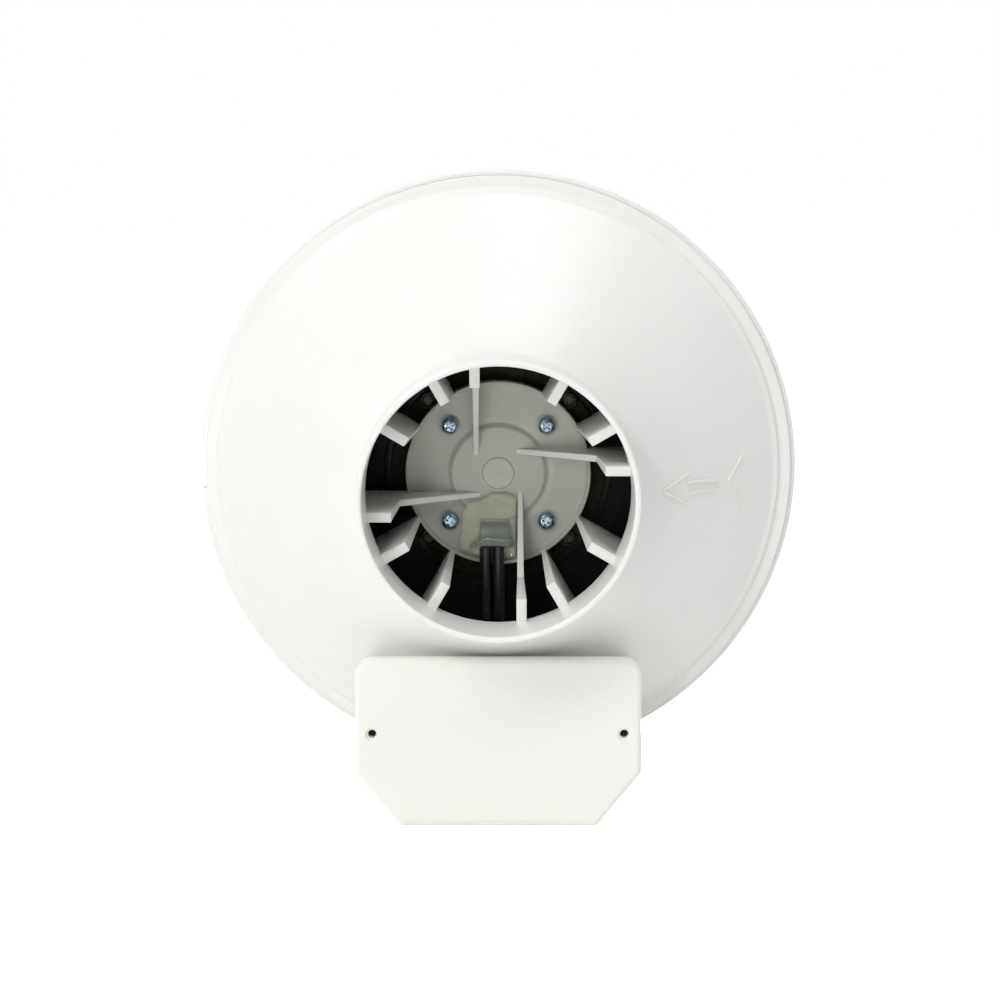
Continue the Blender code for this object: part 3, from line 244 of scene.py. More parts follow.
def noise_node(tree, vector, scale, detail=3.0, roughness=0.5):
    node = tree.nodes.new("ShaderNodeTexNoise")
    node.inputs["Detail"].default_value = detail
    node.inputs["Roughness"].default_value = roughness
    tree.links.new(vector, node.inputs["Vector"])
    if isinstance(scale, (int, float)):
        node.inputs["Scale"].default_value = scale
    else:
        tree.links.new(scale, node.inputs["Scale"])
    return node.outputs["Fac"]


def range_node(tree, value, low, high, to_low=0.0, to_high=1.0):
    node = tree.nodes.new("ShaderNodeMapRange")
    tree.links.new(value, node.inputs["Value"])
    for socket, number in zip(node.inputs[1:5], (low, high, to_low, to_high)):
        socket.default_value = number
    return node.outputs["Result"]


def mix_node(tree, factor, first, second):
    node = tree.nodes.new("ShaderNodeMix")
    node.data_type = "RGBA"
    tree.links.new(factor, node.inputs["Factor"])
    sockets = [s for s in node.inputs if s.type == "RGBA"]
    for socket, colour in zip(sockets, (first, second)):
        if isinstance(colour, bpy.types.NodeSocket):
            tree.links.new(colour, socket)
        else:
            socket.default_value = (*colour, 1.0)
    return [s for s in node.outputs if s.type == "RGBA"][0]


def moulding_group():
    """Moulded plastic: broad tone drift, a fine grain and the odd dark fleck."""
    group, start, end = new_group(
        "moulded_plastic",
        (
            ("Vector", "NodeSocketVector", None),
            ("Grain Scale", "NodeSocketFloat", 2200.0),
            ("Fleck Amount", "NodeSocketFloat", 0.0),
        ),
        (("Tone", "NodeSocketFloat"), ("Fleck", "NodeSocketFloat"), ("Height", "NodeSocketFloat")),
    )
    vector = start.outputs["Vector"]
    broad = noise_node(group, vector, 26.0, 2.0)
    middle = noise_node(group, vector, 140.0, 2.0)
    grain = noise_node(group, vector, start.outputs["Grain Scale"], 2.0)
    broad_share = math_node(group, "MULTIPLY", broad, 0.7)
    middle_share = math_node(group, "MULTIPLY", middle, 0.3)
    tone = math_node(group, "ADD", broad_share, middle_share)
    fleck_noise = noise_node(group, vector, 900.0, 1.0)
    fleck = range_node(group, fleck_noise, 0.76, 0.82)
    fleck = math_node(group, "MULTIPLY", fleck, start.outputs["Fleck Amount"])
    group.links.new(tone, end.inputs["Tone"])
    group.links.new(fleck, end.inputs["Fleck"])
    group.links.new(grain, end.inputs["Height"])
    return group


def turning_group():
    """Fine rings round the duct axis, as a lathe or a spinning mould leaves them."""
    group, start, end = new_group(
        "turned_rings",
        (("Vector", "NodeSocketVector", None), ("Ring Scale", "NodeSocketFloat", 900.0)),
        (("Rings", "NodeSocketFloat"), ("Streaks", "NodeSocketFloat")),
    )
    split = group.nodes.new("ShaderNodeSeparateXYZ")
    group.links.new(start.outputs["Vector"], split.inputs[0])
    across = math_node(group, "MULTIPLY", split.outputs["X"], split.outputs["X"])
    upward = math_node(group, "MULTIPLY", split.outputs["Z"], split.outputs["Z"])
    radius = math_node(group, "SQRT", math_node(group, "ADD", across, upward))
    angle = math_node(group, "ARCTAN2", split.outputs["Z"], split.outputs["X"])
    join = group.nodes.new("ShaderNodeCombineXYZ")
    group.links.new(radius, join.inputs["X"])
    group.links.new(math_node(group, "MULTIPLY", angle, 0.0004), join.inputs["Y"])
    group.links.new(math_node(group, "MULTIPLY", split.outputs["Y"], 0.6), join.inputs["Z"])
    rings = noise_node(group, join.outputs[0], start.outputs["Ring Scale"], 3.0, 0.6)
    wide = math_node(group, "MULTIPLY", start.outputs["Ring Scale"], 0.18)
    streaks = noise_node(group, join.outputs[0], wide, 2.0, 0.5)
    group.links.new(rings, end.inputs["Rings"])
    group.links.new(streaks, end.inputs["Streaks"])
    return group


def tarnish_group():
    """Patchy tarnish and small pits for plated and drawn metal."""
    group, start, end = new_group(
        "tarnish",
        (("Vector", "NodeSocketVector", None), ("Patch Scale", "NodeSocketFloat", 240.0)),
        (("Patch", "NodeSocketFloat"), ("Pits", "NodeSocketFloat")),
    )
    patch = noise_node(group, start.outputs["Vector"], start.outputs["Patch Scale"], 4.0, 0.6)
    fine = math_node(group, "MULTIPLY", start.outputs["Patch Scale"], 9.0)
    pits = noise_node(group, start.outputs["Vector"], fine, 2.0, 0.5)
    group.links.new(range_node(group, patch, 0.35, 0.65), end.inputs["Patch"])
    group.links.new(pits, end.inputs["Pits"])
    return group


GROUPS = {}


def shared_group(name):
    makers = {"moulding": moulding_group, "turning": turning_group, "tarnish": tarnish_group}
    if name not in GROUPS:
        GROUPS[name] = makers[name]()
    return GROUPS[name]


class Finish:
    """A material under construction: its tree, its shader and the Object coordinates."""

    def __init__(self, name, metallic=0.0, **constants):
        self.material = bpy.data.materials.new(name)
        self.material.use_nodes = True
        self.tree = self.material.node_tree
        self.shader = self.tree.nodes["Principled BSDF"]
        self.shader.inputs["Metallic"].default_value = metallic
        for socket, value in constants.items():
            self.shader.inputs[socket.replace("_", " ")].default_value = value
        coordinates = self.tree.nodes.new("ShaderNodeTexCoord")
        self.vector = coordinates.outputs["Object"]

    def group(self, name, **values):
        node = self.tree.nodes.new("ShaderNodeGroup")
        node.node_tree = shared_group(name)
        self.tree.links.new(self.vector, node.inputs["Vector"])
        for socket, value in values.items():
            node.inputs[socket.replace("_", " ")].default_value = value
        return node.outputs

    def feed(self, socket, output):
        self.tree.links.new(output, self.shader.inputs[socket])

    def bump(self, height, strength, distance):
        node = self.tree.nodes.new("ShaderNodeBump")
        node.inputs["Strength"].default_value = strength
        node.inputs["Distance"].default_value = distance
        self.tree.links.new(height, node.inputs["Height"])
        self.feed("Normal", node.outputs["Normal"])


def shaded(colour, factor):
    return tuple(c * factor for c in colour)


def plastic(name, colour, rough, grain=2200.0, fleck=0.0, bump=0.12, **constants):
    """Moulded plastic of one colour with its drift, grain and flecks."""
    finish = Finish(name, **constants)
    detail = finish.group("moulding", Grain_Scale=grain, Fleck_Amount=fleck)
    body = mix_node(finish.tree, detail["Tone"], shaded(colour, 0.955), shaded(colour, 1.03))
    flecked = mix_node(finish.tree, detail["Fleck"], body, (0.20, 0.19, 0.16))
    finish.feed("Base Color", flecked)
    finish.feed("Roughness", range_node(finish.tree, detail["Tone"], 0.3, 0.7, rough * 0.88, rough * 1.12))
    finish.bump(detail["Height"], bump, 0.00004)
    return finish.material


def housing_plastic(settings):
    colour = settings.shell_colour
    return plastic(
        "housing_white", colour, 0.34, 2600.0, 0.0, 0.06, Coat_Weight=0.2, Coat_Roughness=0.16
    )


def plate_plastic_painted_shade(settings):
    """The plate and vanes share the housing's moulding, with more flecks on them; the plate's colour is
    also darkened as painted shade for its place deep in the airway.
    """
    # The housing white is darkened here: painted shade, as the plate sits deep in the shaded airway.
    colour = tuple(c * t for c, t in zip(settings.shell_colour, (0.65, 0.66, 0.60)))
    return plastic("plate_white_painted_shade", colour, 0.4, 2000.0, 0.45, 0.1)


def boss_plastic(settings):
    """The rough gate mark in the middle of the plate."""
    finish = Finish("boss_white")
    detail = finish.group("moulding", Grain_Scale=900.0, Fleck_Amount=0.5)
    rough = noise_node(finish.tree, finish.vector, 1500.0, 3.0, 0.7)
    spots = range_node(finish.tree, rough, 0.55, 0.70)
    # The housing white is darkened here: painted shade for the boss deep in the airway; the spots below
    # are its real speckle.
    colour = tuple(c * t for c, t in zip(settings.shell_colour, (0.76, 0.77, 0.70)))
    body = mix_node(finish.tree, spots, colour, shaded(colour, 0.72))
    finish.feed("Base Color", mix_node(finish.tree, detail["Fleck"], body, (0.16, 0.15, 0.12)))
    finish.feed("Roughness", range_node(finish.tree, rough, 0.3, 0.7, 0.45, 0.7))
    finish.bump(rough, 0.55, 0.0003)
    return finish.material


def box_plastic(settings):
    return plastic(
        "box_white", settings.box_colour, 0.33, 3000.0, 0.0, 0.10, Coat_Weight=0.12, Coat_Roughness=0.12
    )


def impeller_plastic(settings):
    """Black plastic with the fine concentric rings of its mould."""
    finish = Finish("impeller_black", Specular_IOR_Level=0.3, Coat_Weight=0.08, Coat_Roughness=0.15)
    rings = finish.group("turning", Ring_Scale=1300.0)
    detail = finish.group("moulding", Grain_Scale=1800.0, Fleck_Amount=0.0)
    dark = settings.impeller_colour
    tone = math_node(finish.tree, "MULTIPLY", rings["Streaks"], detail["Tone"])
    dust = range_node(finish.tree, tone, 0.2, 0.42)
    finish.feed("Base Color", mix_node(finish.tree, dust, tuple(dark), (0.007, 0.0065, 0.0055)))
    finish.feed("Roughness", range_node(finish.tree, rings["Rings"], 0.3, 0.7, 0.26, 0.46))
    finish.bump(rings["Rings"], 0.5, 0.00012)
    return finish.material


def rotor_plate():
    """Olive-brown passivated steel."""
    finish = Finish("rotor_olive", metallic=0.6, Specular_IOR_Level=0.3)
    rings = finish.group("turning", Ring_Scale=1500.0)
    stain = finish.group("tarnish", Patch_Scale=260.0)
    base = mix_node(finish.tree, stain["Patch"], (0.016, 0.014, 0.009), (0.040, 0.035, 0.022))
    finish.feed("Base Color", mix_node(finish.tree, rings["Streaks"], base, (0.026, 0.023, 0.016)))
    finish.feed("Roughness", range_node(finish.tree, stain["Pits"], 0.3, 0.7, 0.42, 0.62))
    finish.bump(rings["Rings"], 0.35, 0.00005)
    return finish.material


def plated_steel(name, colour, dark, rough):
    """Plated or ground steel with patches of tarnish."""
    finish = Finish(name, metallic=1.0)
    stain = finish.group("tarnish", Patch_Scale=420.0)
    finish.feed("Base Color", mix_node(finish.tree, stain["Patch"], colour, dark))
    finish.feed("Roughness", range_node(finish.tree, stain["Pits"], 0.3, 0.7, rough * 0.8, rough * 1.3))
    finish.bump(stain["Pits"], 0.2, 0.00003)
    return finish.material


def cast_metal(name, colour, dark, rough, metallic=0.9):
    """Cast, laminated or wound metal with a coarse grain."""
    finish = Finish(name, metallic=metallic)
    stain = finish.group("tarnish", Patch_Scale=180.0)
    finish.feed("Base Color", mix_node(finish.tree, stain["Pits"], colour, dark))
    finish.feed("Roughness", range_node(finish.tree, stain["Patch"], 0.0, 1.0, rough * 0.85, rough * 1.15))
    finish.bump(stain["Pits"], 0.6, 0.00015)
    return finish.material


def lead_sheath():
    """Dark glossy sheathing, scuffed here and there."""
    finish = Finish("lead_black", Coat_Weight=0.6, Coat_Roughness=0.05, Specular_IOR_Level=0.25)
    stain = finish.group("tarnish", Patch_Scale=300.0)
    sheath = mix_node(finish.tree, stain["Patch"], (0.0025, 0.0025, 0.0045), (0.006, 0.006, 0.010))
    finish.feed("Base Color", sheath)
    finish.feed("Roughness", range_node(finish.tree, stain["Pits"], 0.3, 0.7, 0.26, 0.42))
    finish.bump(stain["Pits"], 0.25, 0.00008)
    return finish.material


def rubber(name, colour):
    finish = Finish(name)
    detail = finish.group("moulding", Grain_Scale=1500.0, Fleck_Amount=0.1)
    body = mix_node(finish.tree, detail["Tone"], shaded(colour, 0.8), shaded(colour, 1.15))
    finish.feed("Base Color", body)
    finish.feed("Roughness", range_node(finish.tree, detail["Height"], 0.3, 0.7, 0.6, 0.82))
    finish.bump(detail["Height"], 0.4, 0.0001)
    return finish.material


def potting_resin(settings):
    """Clear yellow-green potting with a wet gloss and faint clouds."""
    finish = Finish(
        "potting_resin", Transmission_Weight=0.78, IOR=1.45, Coat_Weight=0.6, Coat_Roughness=0.03
    )
    clouds = noise_node(finish.tree, finish.vector, 150.0, 3.0)
    ripple = noise_node(finish.tree, finish.vector, 320.0, 2.0)
    colour = settings.resin_colour
    finish.feed("Base Color", mix_node(finish.tree, clouds, shaded(colour, 0.9), shaded(colour, 1.1)))
    finish.feed("Roughness", range_node(finish.tree, clouds, 0.3, 0.7, 0.03, 0.08))
    finish.bump(ripple, 0.8, 0.0011)
    return finish.material


# ---------------------------------------------------------------- mesh helpers


def piece(name, bm, finish, body, replaced=(), smooth_angle=30.0):
    """Turns a bmesh into a finished piece that rides on a body and stands for CAD nodes."""
    return settle(loose(name, bm), finish, body, replaced, smooth_angle)


def settle(obj, finish, body, replaced=(), smooth_angle=30.0):
    obj.data.materials.clear()
    obj.data.materials.append(finish)
    obj.data.shade_smooth()
    obj.data.set_sharp_from_angle(angle=math.radians(smooth_angle))
    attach(obj, body)
    if replaced:
        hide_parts(*replaced)
    return obj


def loose(name, bm):
    """A plain object made from a bmesh: a piece before it is settled, or the tool for a cut or a join."""
    bmesh.ops.recalc_face_normals(bm, faces=bm.faces)
    mesh = bpy.data.meshes.new(name)
    bm.to_mesh(mesh)
    bm.free()
    obj = bpy.data.objects.new(name, mesh)
    bpy.context.scene.collection.objects.link(obj)
    return obj


def shaped(obj, others, operation="DIFFERENCE"):
    """Cuts or joins the others into an object for good, and removes them."""
    for other in others:
        modifier = obj.modifiers.new(other.name, "BOOLEAN")
        modifier.solver = "EXACT"
        modifier.operation = operation
        modifier.object = other
    graph = bpy.context.evaluated_depsgraph_get()
    mesh = bpy.data.meshes.new_from_object(obj.evaluated_get(graph), depsgraph=graph)
    if len(mesh.polygons) == 0:
        raise RuntimeError(f"{obj.name}: a cut left nothing of it")
    obj.modifiers.clear()
    obj.data = mesh
    for other in others:
        bpy.data.objects.remove(other, do_unlink=True)
    return obj


def eased(points, steps=4):
    """A profile whose points are (r, z) or (r, z, radius): those with a radius are rounded off."""
    found = []
    count = len(points)
    for i, point in enumerate(points):
        radius = point[2] if len(point) > 2 else 0.0
        here = Vector(point[:2])
        if not radius:
            found.append(here)
            continue
        before = (Vector(points[i - 1][:2]) - here).normalized()
        after = (Vector(points[(i + 1) % count][:2]) - here).normalized()
        half = before.angle(after) / 2
        reach = radius / math.tan(half)
        first, last = here + before * reach, here + after * reach
        centre = here + (before + after).normalized() * (radius / math.sin(half))
        for k in range(steps + 1):
            chord = first.lerp(last, k / steps)
            found.append(centre + (chord - centre).normalized() * radius)
    return found


def spun(profile, steps, angle=math.tau, start=0.0, closed=True, centre=(0.0, 0.0)):
    """A profile of (radius, height) turned about the duct axis, or one beside it."""
    bm = bmesh.new()
    verts = [bm.verts.new((r, -z, 0.0)) for r, z in profile]
    for first, second in zip(verts, verts[1:]):
        bm.edges.new((first, second))
    if closed:
        bm.edges.new((verts[-1], verts[0]))
    if start:
        turn = Matrix.Rotation(start, 3, "Y")
        bmesh.ops.rotate(bm, cent=(0, 0, 0), matrix=turn, verts=bm.verts)
    whole = abs(angle - math.tau) < 1e-6
    bmesh.ops.spin(
        bm,
        geom=bm.verts[:] + bm.edges[:],
        cent=(0, 0, 0),
        axis=(0, 1, 0),
        dvec=(0, 0, 0),
        angle=angle,
        steps=steps,
        use_merge=whole,
        use_duplicate=False,
    )
    bmesh.ops.remove_doubles(bm, verts=bm.verts, dist=1e-6)
    if not whole:
        bmesh.ops.holes_fill(bm, edges=[e for e in bm.edges if e.is_boundary], sides=0)
    bmesh.ops.translate(bm, vec=(centre[0], 0.0, centre[1]), verts=bm.verts)
    return bm


def turned(name, profile, centre):
    """A small round object standing at (x, z), from a profile that closes on its own axis."""
    return loose(name, spun(profile, SMALL, closed=False, centre=centre))


def slab(outline, front, back):
    """An (x, z) outline seen from the outlet, made solid between two heights above the joint."""
    bm = bmesh.new()
    face = bm.faces.new([bm.verts.new((x, -front, z)) for x, z in outline])
    made = bmesh.ops.extrude_face_region(bm, geom=[face])
    moved = [item for item in made["geom"] if isinstance(item, bmesh.types.BMVert)]
    bmesh.ops.translate(bm, vec=(0.0, front - back, 0.0), verts=moved)
    bmesh.ops.recalc_face_normals(bm, faces=bm.faces)
    return bm


def bevel(bm, edges, offset, segments=3):
    bmesh.ops.bevel(
        bm, geom=edges, offset=offset, segments=segments, affect="EDGES", profile=0.5, material=-1
    )


def edges_at(bm, height):
    """The edges that lie wholly at one height above the joint."""
    return [e for e in bm.edges if all(abs(v.co.y + height) < 1e-6 for v in e.verts)]


def bar(low, high, rounding=0.0, segments=2):
    """A rectangular bar between two corners."""
    bm = bmesh.new()
    bmesh.ops.create_cube(bm, size=1.0)
    size = [b - a for a, b in zip(low, high)]
    middle = [(a + b) / 2 for a, b in zip(low, high)]
    bmesh.ops.scale(bm, vec=size, verts=bm.verts)
    bmesh.ops.translate(bm, vec=middle, verts=bm.verts)
    if rounding:
        bevel(bm, bm.edges[:], rounding, segments)
    return bm


def merged(target, source):
    """Adds one bmesh's shape to another."""
    mesh = bpy.data.meshes.new("join")
    source.to_mesh(mesh)
    source.free()
    target.from_mesh(mesh)
    bpy.data.meshes.remove(mesh)


# ---------------------------------------------------------------- housing


def cone_z(radius, out=0.0):
    lean = math.hypot(1.0, CONE_SLOPE)
    return CONE_TOP_Z - CONE_SLOPE * (radius - CONE_TOP_R) + out * lean


def half_outside():
    """From the collar's mouth down its side and out along the cone, with soft corners."""
    return [
        (COLLAR_BORE, HALF_DEPTH, 0.7 * MM),
        (COLLAR_R, HALF_DEPTH, 0.8 * MM),
        (COLLAR_R, 53.0 * MM, 2.6 * MM),
        (CONE_FOOT_R, cone_z(CONE_FOOT_R), 3.0 * MM),
        (107.7 * MM, 6.3 * MM, 0.4 * MM),
        (108.2 * MM, 4.9 * MM, 0.3 * MM),
    ]


def half_inside():
    return [
        (104.0 * MM, 0.15 * MM),
        (104.0 * MM, cone_z(104.0 * MM, -SHELL), 1.0 * MM),
        (COLLAR_BORE, cone_z(COLLAR_BORE, -SHELL), 3.0 * MM),
    ]


def outlet_profile():
    flange = [
        (109.2 * MM, 4.6 * MM, 0.3 * MM),
        (FLANGE_R, 4.5 * MM, 0.5 * MM),
        (FLANGE_R, 0.15 * MM, 0.3 * MM),
        (109.6 * MM, 0.15 * MM),
        (109.6 * MM, 2.3 * MM),
        (107.0 * MM, 2.3 * MM),
        (107.0 * MM, 0.15 * MM),
    ]
    return eased(half_outside() + flange + half_inside())


def motor_plate_profile():
    lip_r = PLATE_R - 1.5 * MM
    floor = PLATE_Z - 1.1 * MM
    return eased(
        [
            (6.9 * MM, PLATE_Z),
            (17.6 * MM, PLATE_Z, 1.0 * MM),
            (19.2 * MM, PLATE_Z - 1.9 * MM, 0.8 * MM),
            (21.4 * MM, floor, 1.2 * MM),
            (lip_r, PLATE_Z - 0.5 * MM, 0.25 * MM),
            (lip_r + 0.1 * MM, PLATE_Z + 0.9 * MM, 0.25 * MM),
            (PLATE_R, PLATE_Z + 0.9 * MM, 0.45 * MM),
            (PLATE_R, 7.5 * MM),
            (PLATE_R - 1.5 * MM, 7.5 * MM),
            (PLATE_R - 1.5 * MM, 9.0 * MM),
            (6.9 * MM, 9.0 * MM),
        ]
    )


def boss_profile():
    top = PLATE_Z + 1.1 * MM
    rounded = eased([(6.3 * MM, PLATE_Z), (5.8 * MM, top, 0.5 * MM), (0.0, top)])
    return [(0.0, 9.0 * MM), (7.0 * MM, 9.0 * MM), (7.0 * MM, PLATE_Z - 0.05 * MM), *rounded]


def short_vane_outline():
    return [
        (34.4 * MM, VANE_BACK),
        (64.0 * MM, VANE_BACK),
        (64.0 * MM, cone_z(64.0 * MM, -SHELL / 2)),
        (51.3 * MM, cone_z(CONE_TOP_R, -SHELL / 2)),
        (48.9 * MM, 54.2 * MM),
        (48.9 * MM, VANE_FRONT),
        (37.7 * MM, VANE_FRONT),
        (34.4 * MM, PLATE_Z),
    ]


def long_vane_outline():
    return [
        (63.0 * MM, VANE_BACK),
        (63.0 * MM, cone_z(64.0 * MM, -SHELL / 2)),
        (51.0 * MM, cone_z(CONE_TOP_R, -SHELL / 2)),
        (48.2 * MM, 54.2 * MM),
        (48.2 * MM, VANE_FRONT),
        (38.3 * MM, VANE_FRONT),
        (36.5 * MM, 30.0 * MM),
        (7.0 * MM, PLATE_Z + 0.2 * MM),
        (7.0 * MM, 10.7 * MM),
        (34.4 * MM, 10.7 * MM),
        (34.4 * MM, VANE_BACK),
    ]


def vane(outline, angle, offset, rounding):
    """A vane that widens to the front, stood at its angle round the axis."""
    bm = bmesh.new()

    def half(z):
        return (1.75 + (z - VANE_BACK) / (VANE_FRONT - VANE_BACK) * 1.95) * MM / 2

    face = bm.faces.new([bm.verts.new((r, -z, -half(z))) for r, z in outline])
    made = bmesh.ops.extrude_face_region(bm, geom=[face])
    for item in made["geom"]:
        if isinstance(item, bmesh.types.BMVert):
            item.co.z = half(-item.co.y)
    bmesh.ops.recalc_face_normals(bm, faces=bm.faces)
    sides = sorted(bm.faces, key=lambda f: -f.calc_area())[:2]
    rims = {e for f in sides for e in f.edges}
    bevel(bm, list(rims), rounding, 3)
    bmesh.ops.translate(bm, vec=(0.0, 0.0, offset), verts=bm.verts)
    bmesh.ops.rotate(bm, cent=(0, 0, 0), matrix=Matrix.Rotation(-angle, 3, "Y"), verts=bm.verts)
    return bm


class DUCTFAN_OT_outlet_half(bpy.types.Operator):
    """Builds the outlet half of the housing: shell, motor plate and guide vanes"""

    bl_idname = "ductfan.outlet_half"
    bl_label = "Outlet half"

    def execute(self, context):
        settings = context.scene.duct_fan_housing
        white = housing_plastic(settings)
        plate_white_painted_shade = plate_plastic_painted_shade(settings)
        shell = loose("outlet_shell", spun(outlet_profile(), settings.shell_steps))
        passage = slab(oblong(*PASSAGE_HALF), 44.0 * MM, 20.0 * MM)
        shaped(shell, [loose("passage", passage)])
        settle(shell, white, HOUSING, ["outlet_housing"])
        plate = loose("motor_plate", spun(motor_plate_profile(), MEDIUM))
        holes = []
        for x, z in screw_places():
            holes.append(turned("pocket", rod(4.1 * MM, 14 * MM, PLATE_Z - 1.3 * MM), (x, z)))
            holes.append(turned("hole", rod(1.85 * MM, 14 * MM, 8 * MM), (x, z)))
        slot_low = (-7.3 * MM, -14.5 * MM, -20.1 * MM)
        holes.append(loose("hole", bar(slot_low, (4.9 * MM, -8.0 * MM, -17.8 * MM))))
        shaped(plate, holes)
        settle(plate, plate_white_painted_shade, HOUSING)
        vane_white = plastic("vane_white", settings.shell_colour, 0.36, 2400.0, 0.2, 0.08)
        boss = spun(boss_profile(), MEDIUM, closed=False)
        piece("plate_boss", boss, boss_plastic(settings), HOUSING)
        vanes = bmesh.new()
        for degrees in range(0, 360, 30):
            is_long = degrees % 90 == 0
            outline = long_vane_outline() if is_long else short_vane_outline()
            offset = LONG_OFFSET if is_long else 0.0
            merged(vanes, vane(outline, math.radians(degrees), offset, settings.edge_round))
        piece("guide_vanes", vanes, vane_white, HOUSING)
        return {"FINISHED"}


def rod(radius, top, bottom):
    """The profile of a plain round rod."""
    return [(0.0, top), (radius, top), (radius, bottom), (0.0, bottom)]


def screw_places():
    return [(sx * SCREW_XY, sz * SCREW_XY) for sx in (-1, 1) for sz in (-1, 1)]


def oblong(half_x, half_z, steps=12):
    """A slot's outline with round ends, where the leads go down into the box."""
    reach = half_x - half_z
    found = []
    for side, start in ((1, -90), (-1, 90)):
        for i in range(steps + 1):
            angle = math.radians(start + 180 * i / steps)
            x = LEAD_X + side * reach + half_z * math.cos(angle)
            found.append((x, GROMMET_Z + half_z * math.sin(angle)))
    return found


class DUCTFAN_OT_inlet_half(bpy.types.Operator):
    """Builds the inlet half of the housing, its notched rim and the bell mouth"""

    bl_idname = "ductfan.inlet_half"
    bl_label = "Inlet half"

    def execute(self, context):
        settings = context.scene.duct_fan_housing
        white = bpy.data.materials["housing_white"]
        outside = [(p[0], -p[1], *p[2:]) for p in reversed(half_outside())]
        inside = [(p[0], -p[1], *p[2:]) for p in reversed(half_inside())]
        lip_bore = FLANGE_R + 0.06 * MM
        lip = [
            (lip_bore, 2.4 * MM, 0.1 * MM),
            (RIM_R, 2.4 * MM, 0.7 * MM),
            (RIM_R, -5.4 * MM, 1.3 * MM),
            (109.6 * MM, -5.0 * MM, 0.3 * MM),
        ]
        profile = eased(lip + outside + inside + [(lip_bore, -0.15 * MM)])
        shell = loose("inlet_shell", spun(profile, settings.shell_steps))
        low = (-RIM_R - 2 * MM, -3.4 * MM, -NOTCH_HALF)
        notch = bar(low, (-NOTCH_FLOOR, 9.2 * MM, NOTCH_HALF), 0.5 * MM)
        shaped(shell, [loose("notch", notch)])
        settle(shell, white, HOUSING, ["inlet_housing"])
        bell = spun(bell_profile(), MEDIUM)
        piece("bell_mouth", bell, white, HOUSING, ["inlet_ring"])
        return {"FINISHED"}


def bell_profile():
    return eased(
        [
            (45.7 * MM, -38.5 * MM, 0.5 * MM),
            (45.7 * MM, -46.5 * MM, 4.0 * MM),
            (47.5 * MM, -50.8 * MM, 4.0 * MM),
            (47.5 * MM, -60.0 * MM, 0.5 * MM),
            (45.9 * MM, -60.0 * MM, 0.5 * MM),
            (45.9 * MM, -51.8 * MM, 4.0 * MM),
            (44.1 * MM, -46.5 * MM, 4.0 * MM),
            (44.1 * MM, -38.5 * MM, 0.5 * MM),
        ]
    )


def ridge(points, width, height):
    """A thin raised line on the cone through (x, z) points, standing out by a height."""
    bm = bmesh.new()
    for (x0, z0), (x1, z1) in zip(points, points[1:]):
        start, end = Vector((x0, z0)), Vector((x1, z1))
        along = (end - start).normalized()
        across = Vector((-along.y, along.x)) * width / 2
        strip = bmesh.new()
        corners = [start + across, end + across, end - across, start - across]
        face = strip.faces.new([strip.verts.new((c.x, 0.0, c.y)) for c in corners])
        made = bmesh.ops.extrude_face_region(strip, geom=[face])
        raised = [v for v in made["geom"] if isinstance(v, bmesh.types.BMVert)]
        longest = [e for e in strip.edges if e.calc_length() > width * 2]
        for v in strip.verts:
            v.tag = v in raised
        for v in strip.verts:
            out = height if v.tag else -0.5 * MM
            v.co.y = -cone_z(math.hypot(v.co.x, v.co.z), out)
        bmesh.ops.recalc_face_normals(strip, faces=strip.faces)
        bevel(strip, longest, height * 0.6, 2)
        merged(bm, strip)
    return bm


class DUCTFAN_OT_arrows(bpy.types.Operator):
    """Raises the plain flow arrow and turning arrow beside the outlet collar"""

    bl_idname = "ductfan.arrows"
    bl_label = "Raised arrows"

    def execute(self, context):
        settings = context.scene.duct_fan_housing
        height, width = settings.arrow_height, 0.9 * MM
        lines = bmesh.new()
        for line in ARROW_LINES:
            merged(lines, ridge([(x * MM, z * MM) for x, z in line], width, height))
        white = bpy.data.materials["housing_white"]
        piece("flow_arrows", lines, white, HOUSING)
        return {"FINISHED"}


# The flow arrow's outline, then the turning arrow's two strokes, in millimetres right and up
ARROW_LINES = (
    ((70.7, 4.0), (60.4, -1.1), (70.5, -7.6)),
    ((69.9, 0.8), (82.6, -0.3)),
    ((70.0, -3.4), (83.1, -3.8)),
    ((86.8, -1.3), (93.1, 8.4)),
    ((90.9, -1.6), (91.2, -13.3)),
)


# ---------------------------------------------------------------- motor and impeller


def cross_recess(x, z, top, depth, turned_by):
    """The cross-shaped socket in a screw's head, narrowing as it goes down."""
    tools = []
    for extra in (0.0, math.pi / 2):
        bm = bmesh.new()
        bmesh.ops.create_cube(bm, size=1.0)
        bmesh.ops.scale(bm, vec=(4.6 * MM, depth * 2, 1.15 * MM), verts=bm.verts)
        for v in bm.verts:
            if v.co.y > 0:
                v.co.x *= 0.6
                v.co.z *= 0.75
        spin = Matrix.Rotation(turned_by + extra, 3, "Y")
        bmesh.ops.rotate(bm, cent=(0, 0, 0), matrix=spin, verts=bm.verts)
        bmesh.ops.translate(bm, vec=(x, -top, z), verts=bm.verts)
        tools.append(loose("socket", bm))
    return tools


def pan_head_profile(radius):
    under = PLATE_Z - 1.4 * MM
    top = PLATE_Z + 2.55 * MM
    crown = eased(
        [
            (0.0, top),
            (radius * 0.62, top - 0.12 * MM, 1.2 * MM),
            (radius, top - 1.0 * MM, 0.8 * MM),
            (radius, under),
        ]
    )
    return [
        (0.0, top),
        *crown[1:],
        (1.5 * MM, under),
        (1.5 * MM, 6.0 * MM),
        (0.0, 6.0 * MM),
    ]


